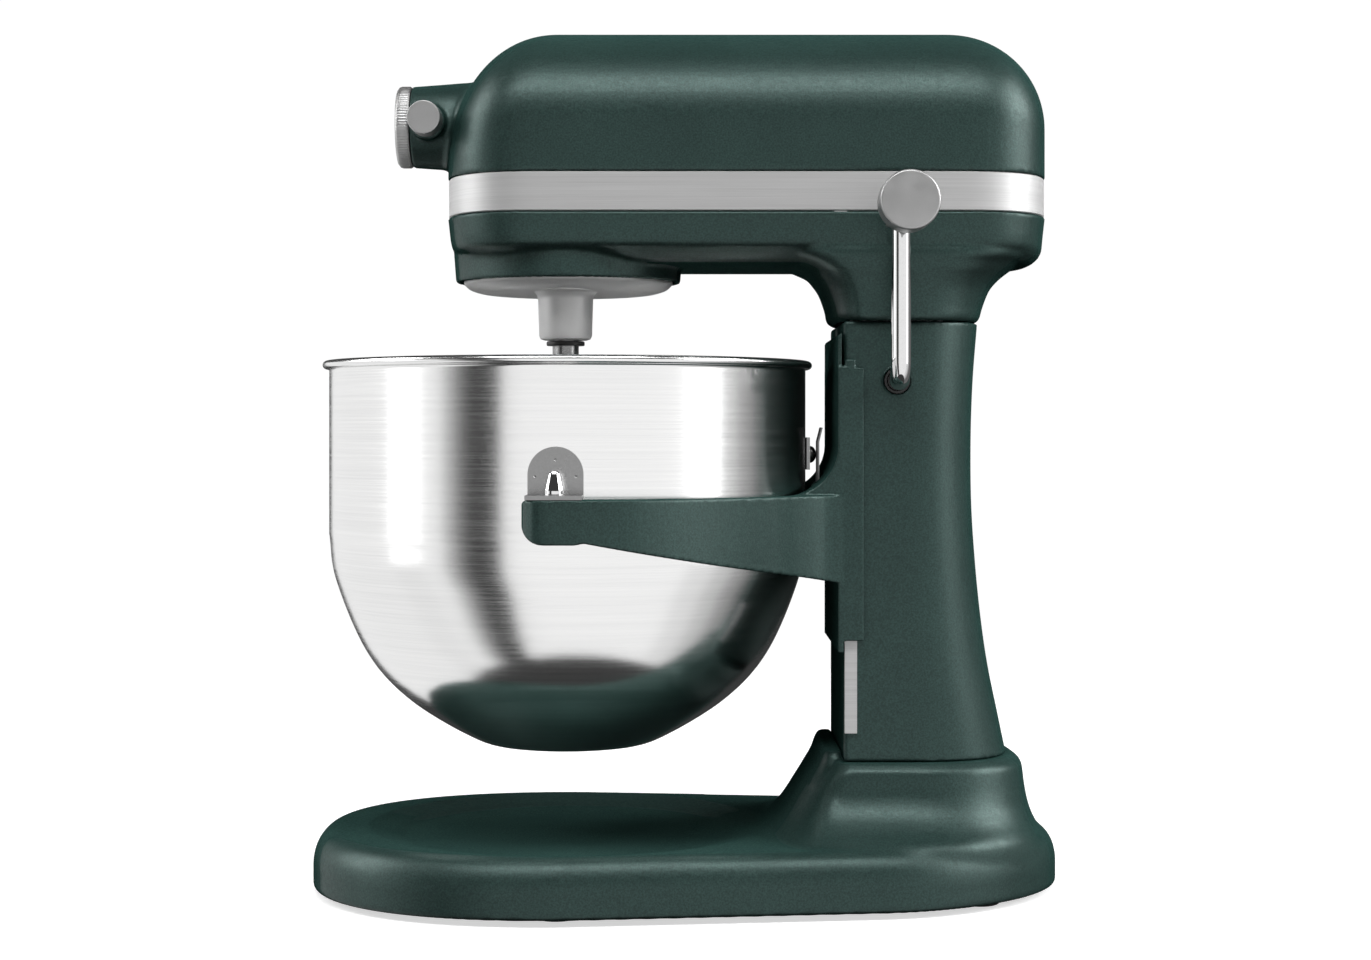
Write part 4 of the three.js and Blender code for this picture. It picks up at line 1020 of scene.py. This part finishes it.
def build_camera():
    data = bpy.data.cameras.new("Camera")
    data.sensor_width = 36
    data.lens = 63.04
    data.shift_y = -48 / 1371
    data.clip_end = 20
    camera = bpy.data.objects.new("Camera", data)
    camera.location = (0.0, -1.2, 0.2257)
    camera.rotation_euler = (math.pi / 2, 0, 0)
    bpy.context.scene.collection.objects.link(camera)
    bpy.context.scene.camera = camera


def emission(name, colour, strength):
    material = bpy.data.materials.new(name)
    material.use_nodes = True
    tree = material.node_tree
    tree.nodes.clear()
    glow = add_node(tree, "ShaderNodeEmission", {"Color": (*colour, 1), "Strength": strength})
    output = add_node(tree, "ShaderNodeOutputMaterial")
    tree.links.new(glow.outputs["Emission"], output.inputs["Surface"])
    return material


def stage_panel(name, vertices, faces, strength, lights_paint):
    """A glowing surface that the camera doesn't see. Some only show in glossy reflections."""
    panel = make(name, vertices, faces)
    panel.data.materials.append(emission(name, (1, 1, 1), strength))
    panel.visible_camera = False
    panel.visible_shadow = False
    panel.visible_diffuse = lights_paint
    return panel


def wall(name, start, end, low, high, strength, lights_paint=False):
    """A curved panel round the set between two bearings. Bearing 0 is the camera's side, and -90 is -X."""
    radius = 2300
    rings = []
    for bearing in np.radians(np.linspace(start, end, 12)):
        x, y = radius * math.sin(bearing), -radius * math.cos(bearing)
        rings += [(x, y, low), (x, y, high)]
    faces = [(2 * i, 2 * i + 1, 2 * i + 3, 2 * i + 2) for i in range(11)]
    stage_panel(name, rings, faces, strength, lights_paint)


def build_lights():
    """High softboxes and a front key for the paint, over a low surround with a dark flag for the bowl."""
    floor_side = -3500
    belt = -250
    eye_line = 600
    surround = (
        (-150, -88, eye_line, 0.95),
        (-88, -70, belt, 0.90),
        (-70, -57, eye_line, 0.98),
        (-57, -51, eye_line, 0.50),
        (-51, -46, eye_line, 0.17),
        (-46, -29.5, eye_line, 0.03),
        (-29.5, 60, eye_line, 1.04),
        (60, 76, belt, 0.85),
        (76, 88, eye_line, 0.62),
        (88, 98, eye_line, 0.34),
        (98, 130, eye_line, 0.16),
    )
    for i, (start, end, top, strength) in enumerate(surround):
        wall(f"surround_{i}", start, end, floor_side, top, strength)
    wall("edge_left", -88, -70, belt, eye_line, 1.7, True)
    wall("edge_right", 60, 76, belt, eye_line, 2.2, True)
    wall("softbox_left", -114, -78, 620, 2300, 5.5, True)
    wall("softbox_right", 62, 104, 620, 2300, 8.0, True)
    key = [(-1100, -1350, 1750), (1100, -1350, 1750), (1100, -900, 2150), (-1100, -900, 2150)]
    stage_panel("key", key, [(0, 1, 2, 3)], 9.0, True)


def build_floor():
    """A pale round table top that glows a little, so that only the contact shadow shows."""
    angles = np.linspace(0, 2 * math.pi, 96, endpoint=False)
    ring = [(1100 * math.cos(a), 1100 * math.sin(a), 0) for a in angles]
    floor = make("floor", ring, [tuple(range(96))])
    material, _, shader = start_material("pale_floor")
    shader.inputs["Base Color"].default_value = (0.7, 0.7, 0.7, 1)
    shader.inputs["Roughness"].default_value = 0.8
    shader.inputs["Emission Color"].default_value = (1, 1, 1, 1)
    shader.inputs["Emission Strength"].default_value = 0.62
    floor.data.materials.append(material)
    floor.visible_diffuse = False
    floor.visible_glossy = False


def build_backdrop():
    """A white dome that only the camera sees."""
    angles = np.linspace(0, 2 * math.pi, 64, endpoint=False)
    rings = [[(8000 * math.cos(a), 8000 * math.sin(a), z) for a in angles] for z in (-2500, 7000)]
    dome = loft("backdrop", rings)
    dome.data.materials.append(emission("backdrop", (1, 1, 1), 1.02))
    dome.visible_diffuse = False
    dome.visible_glossy = False
    dome.visible_shadow = False


def build_studio():
    scene = bpy.context.scene
    scene.view_settings.view_transform = "Standard"
    world = bpy.data.worlds.new("Studio")
    world.use_nodes = True
    world.node_tree.nodes["Background"].inputs["Color"].default_value = (1, 1, 1, 1)
    world.node_tree.nodes["Background"].inputs["Strength"].default_value = 0.05
    scene.world = world
    build_lights()
    build_floor()
    build_backdrop()


build_camera()
build_studio()
dress_inner_parts()
build_base()
build_feet()
build_column()
build_guides()
build_lower_housing()
build_band()
build_upper_housing()
build_hub_cap()
build_attachment_knob()
build_planetary()
build_beater_shaft()
build_lever()
build_carriage()
build_locating_pins()
build_bowl()
build_ears()
build_handle()
build_rear_stud()
build_speed_control()
build_gland()
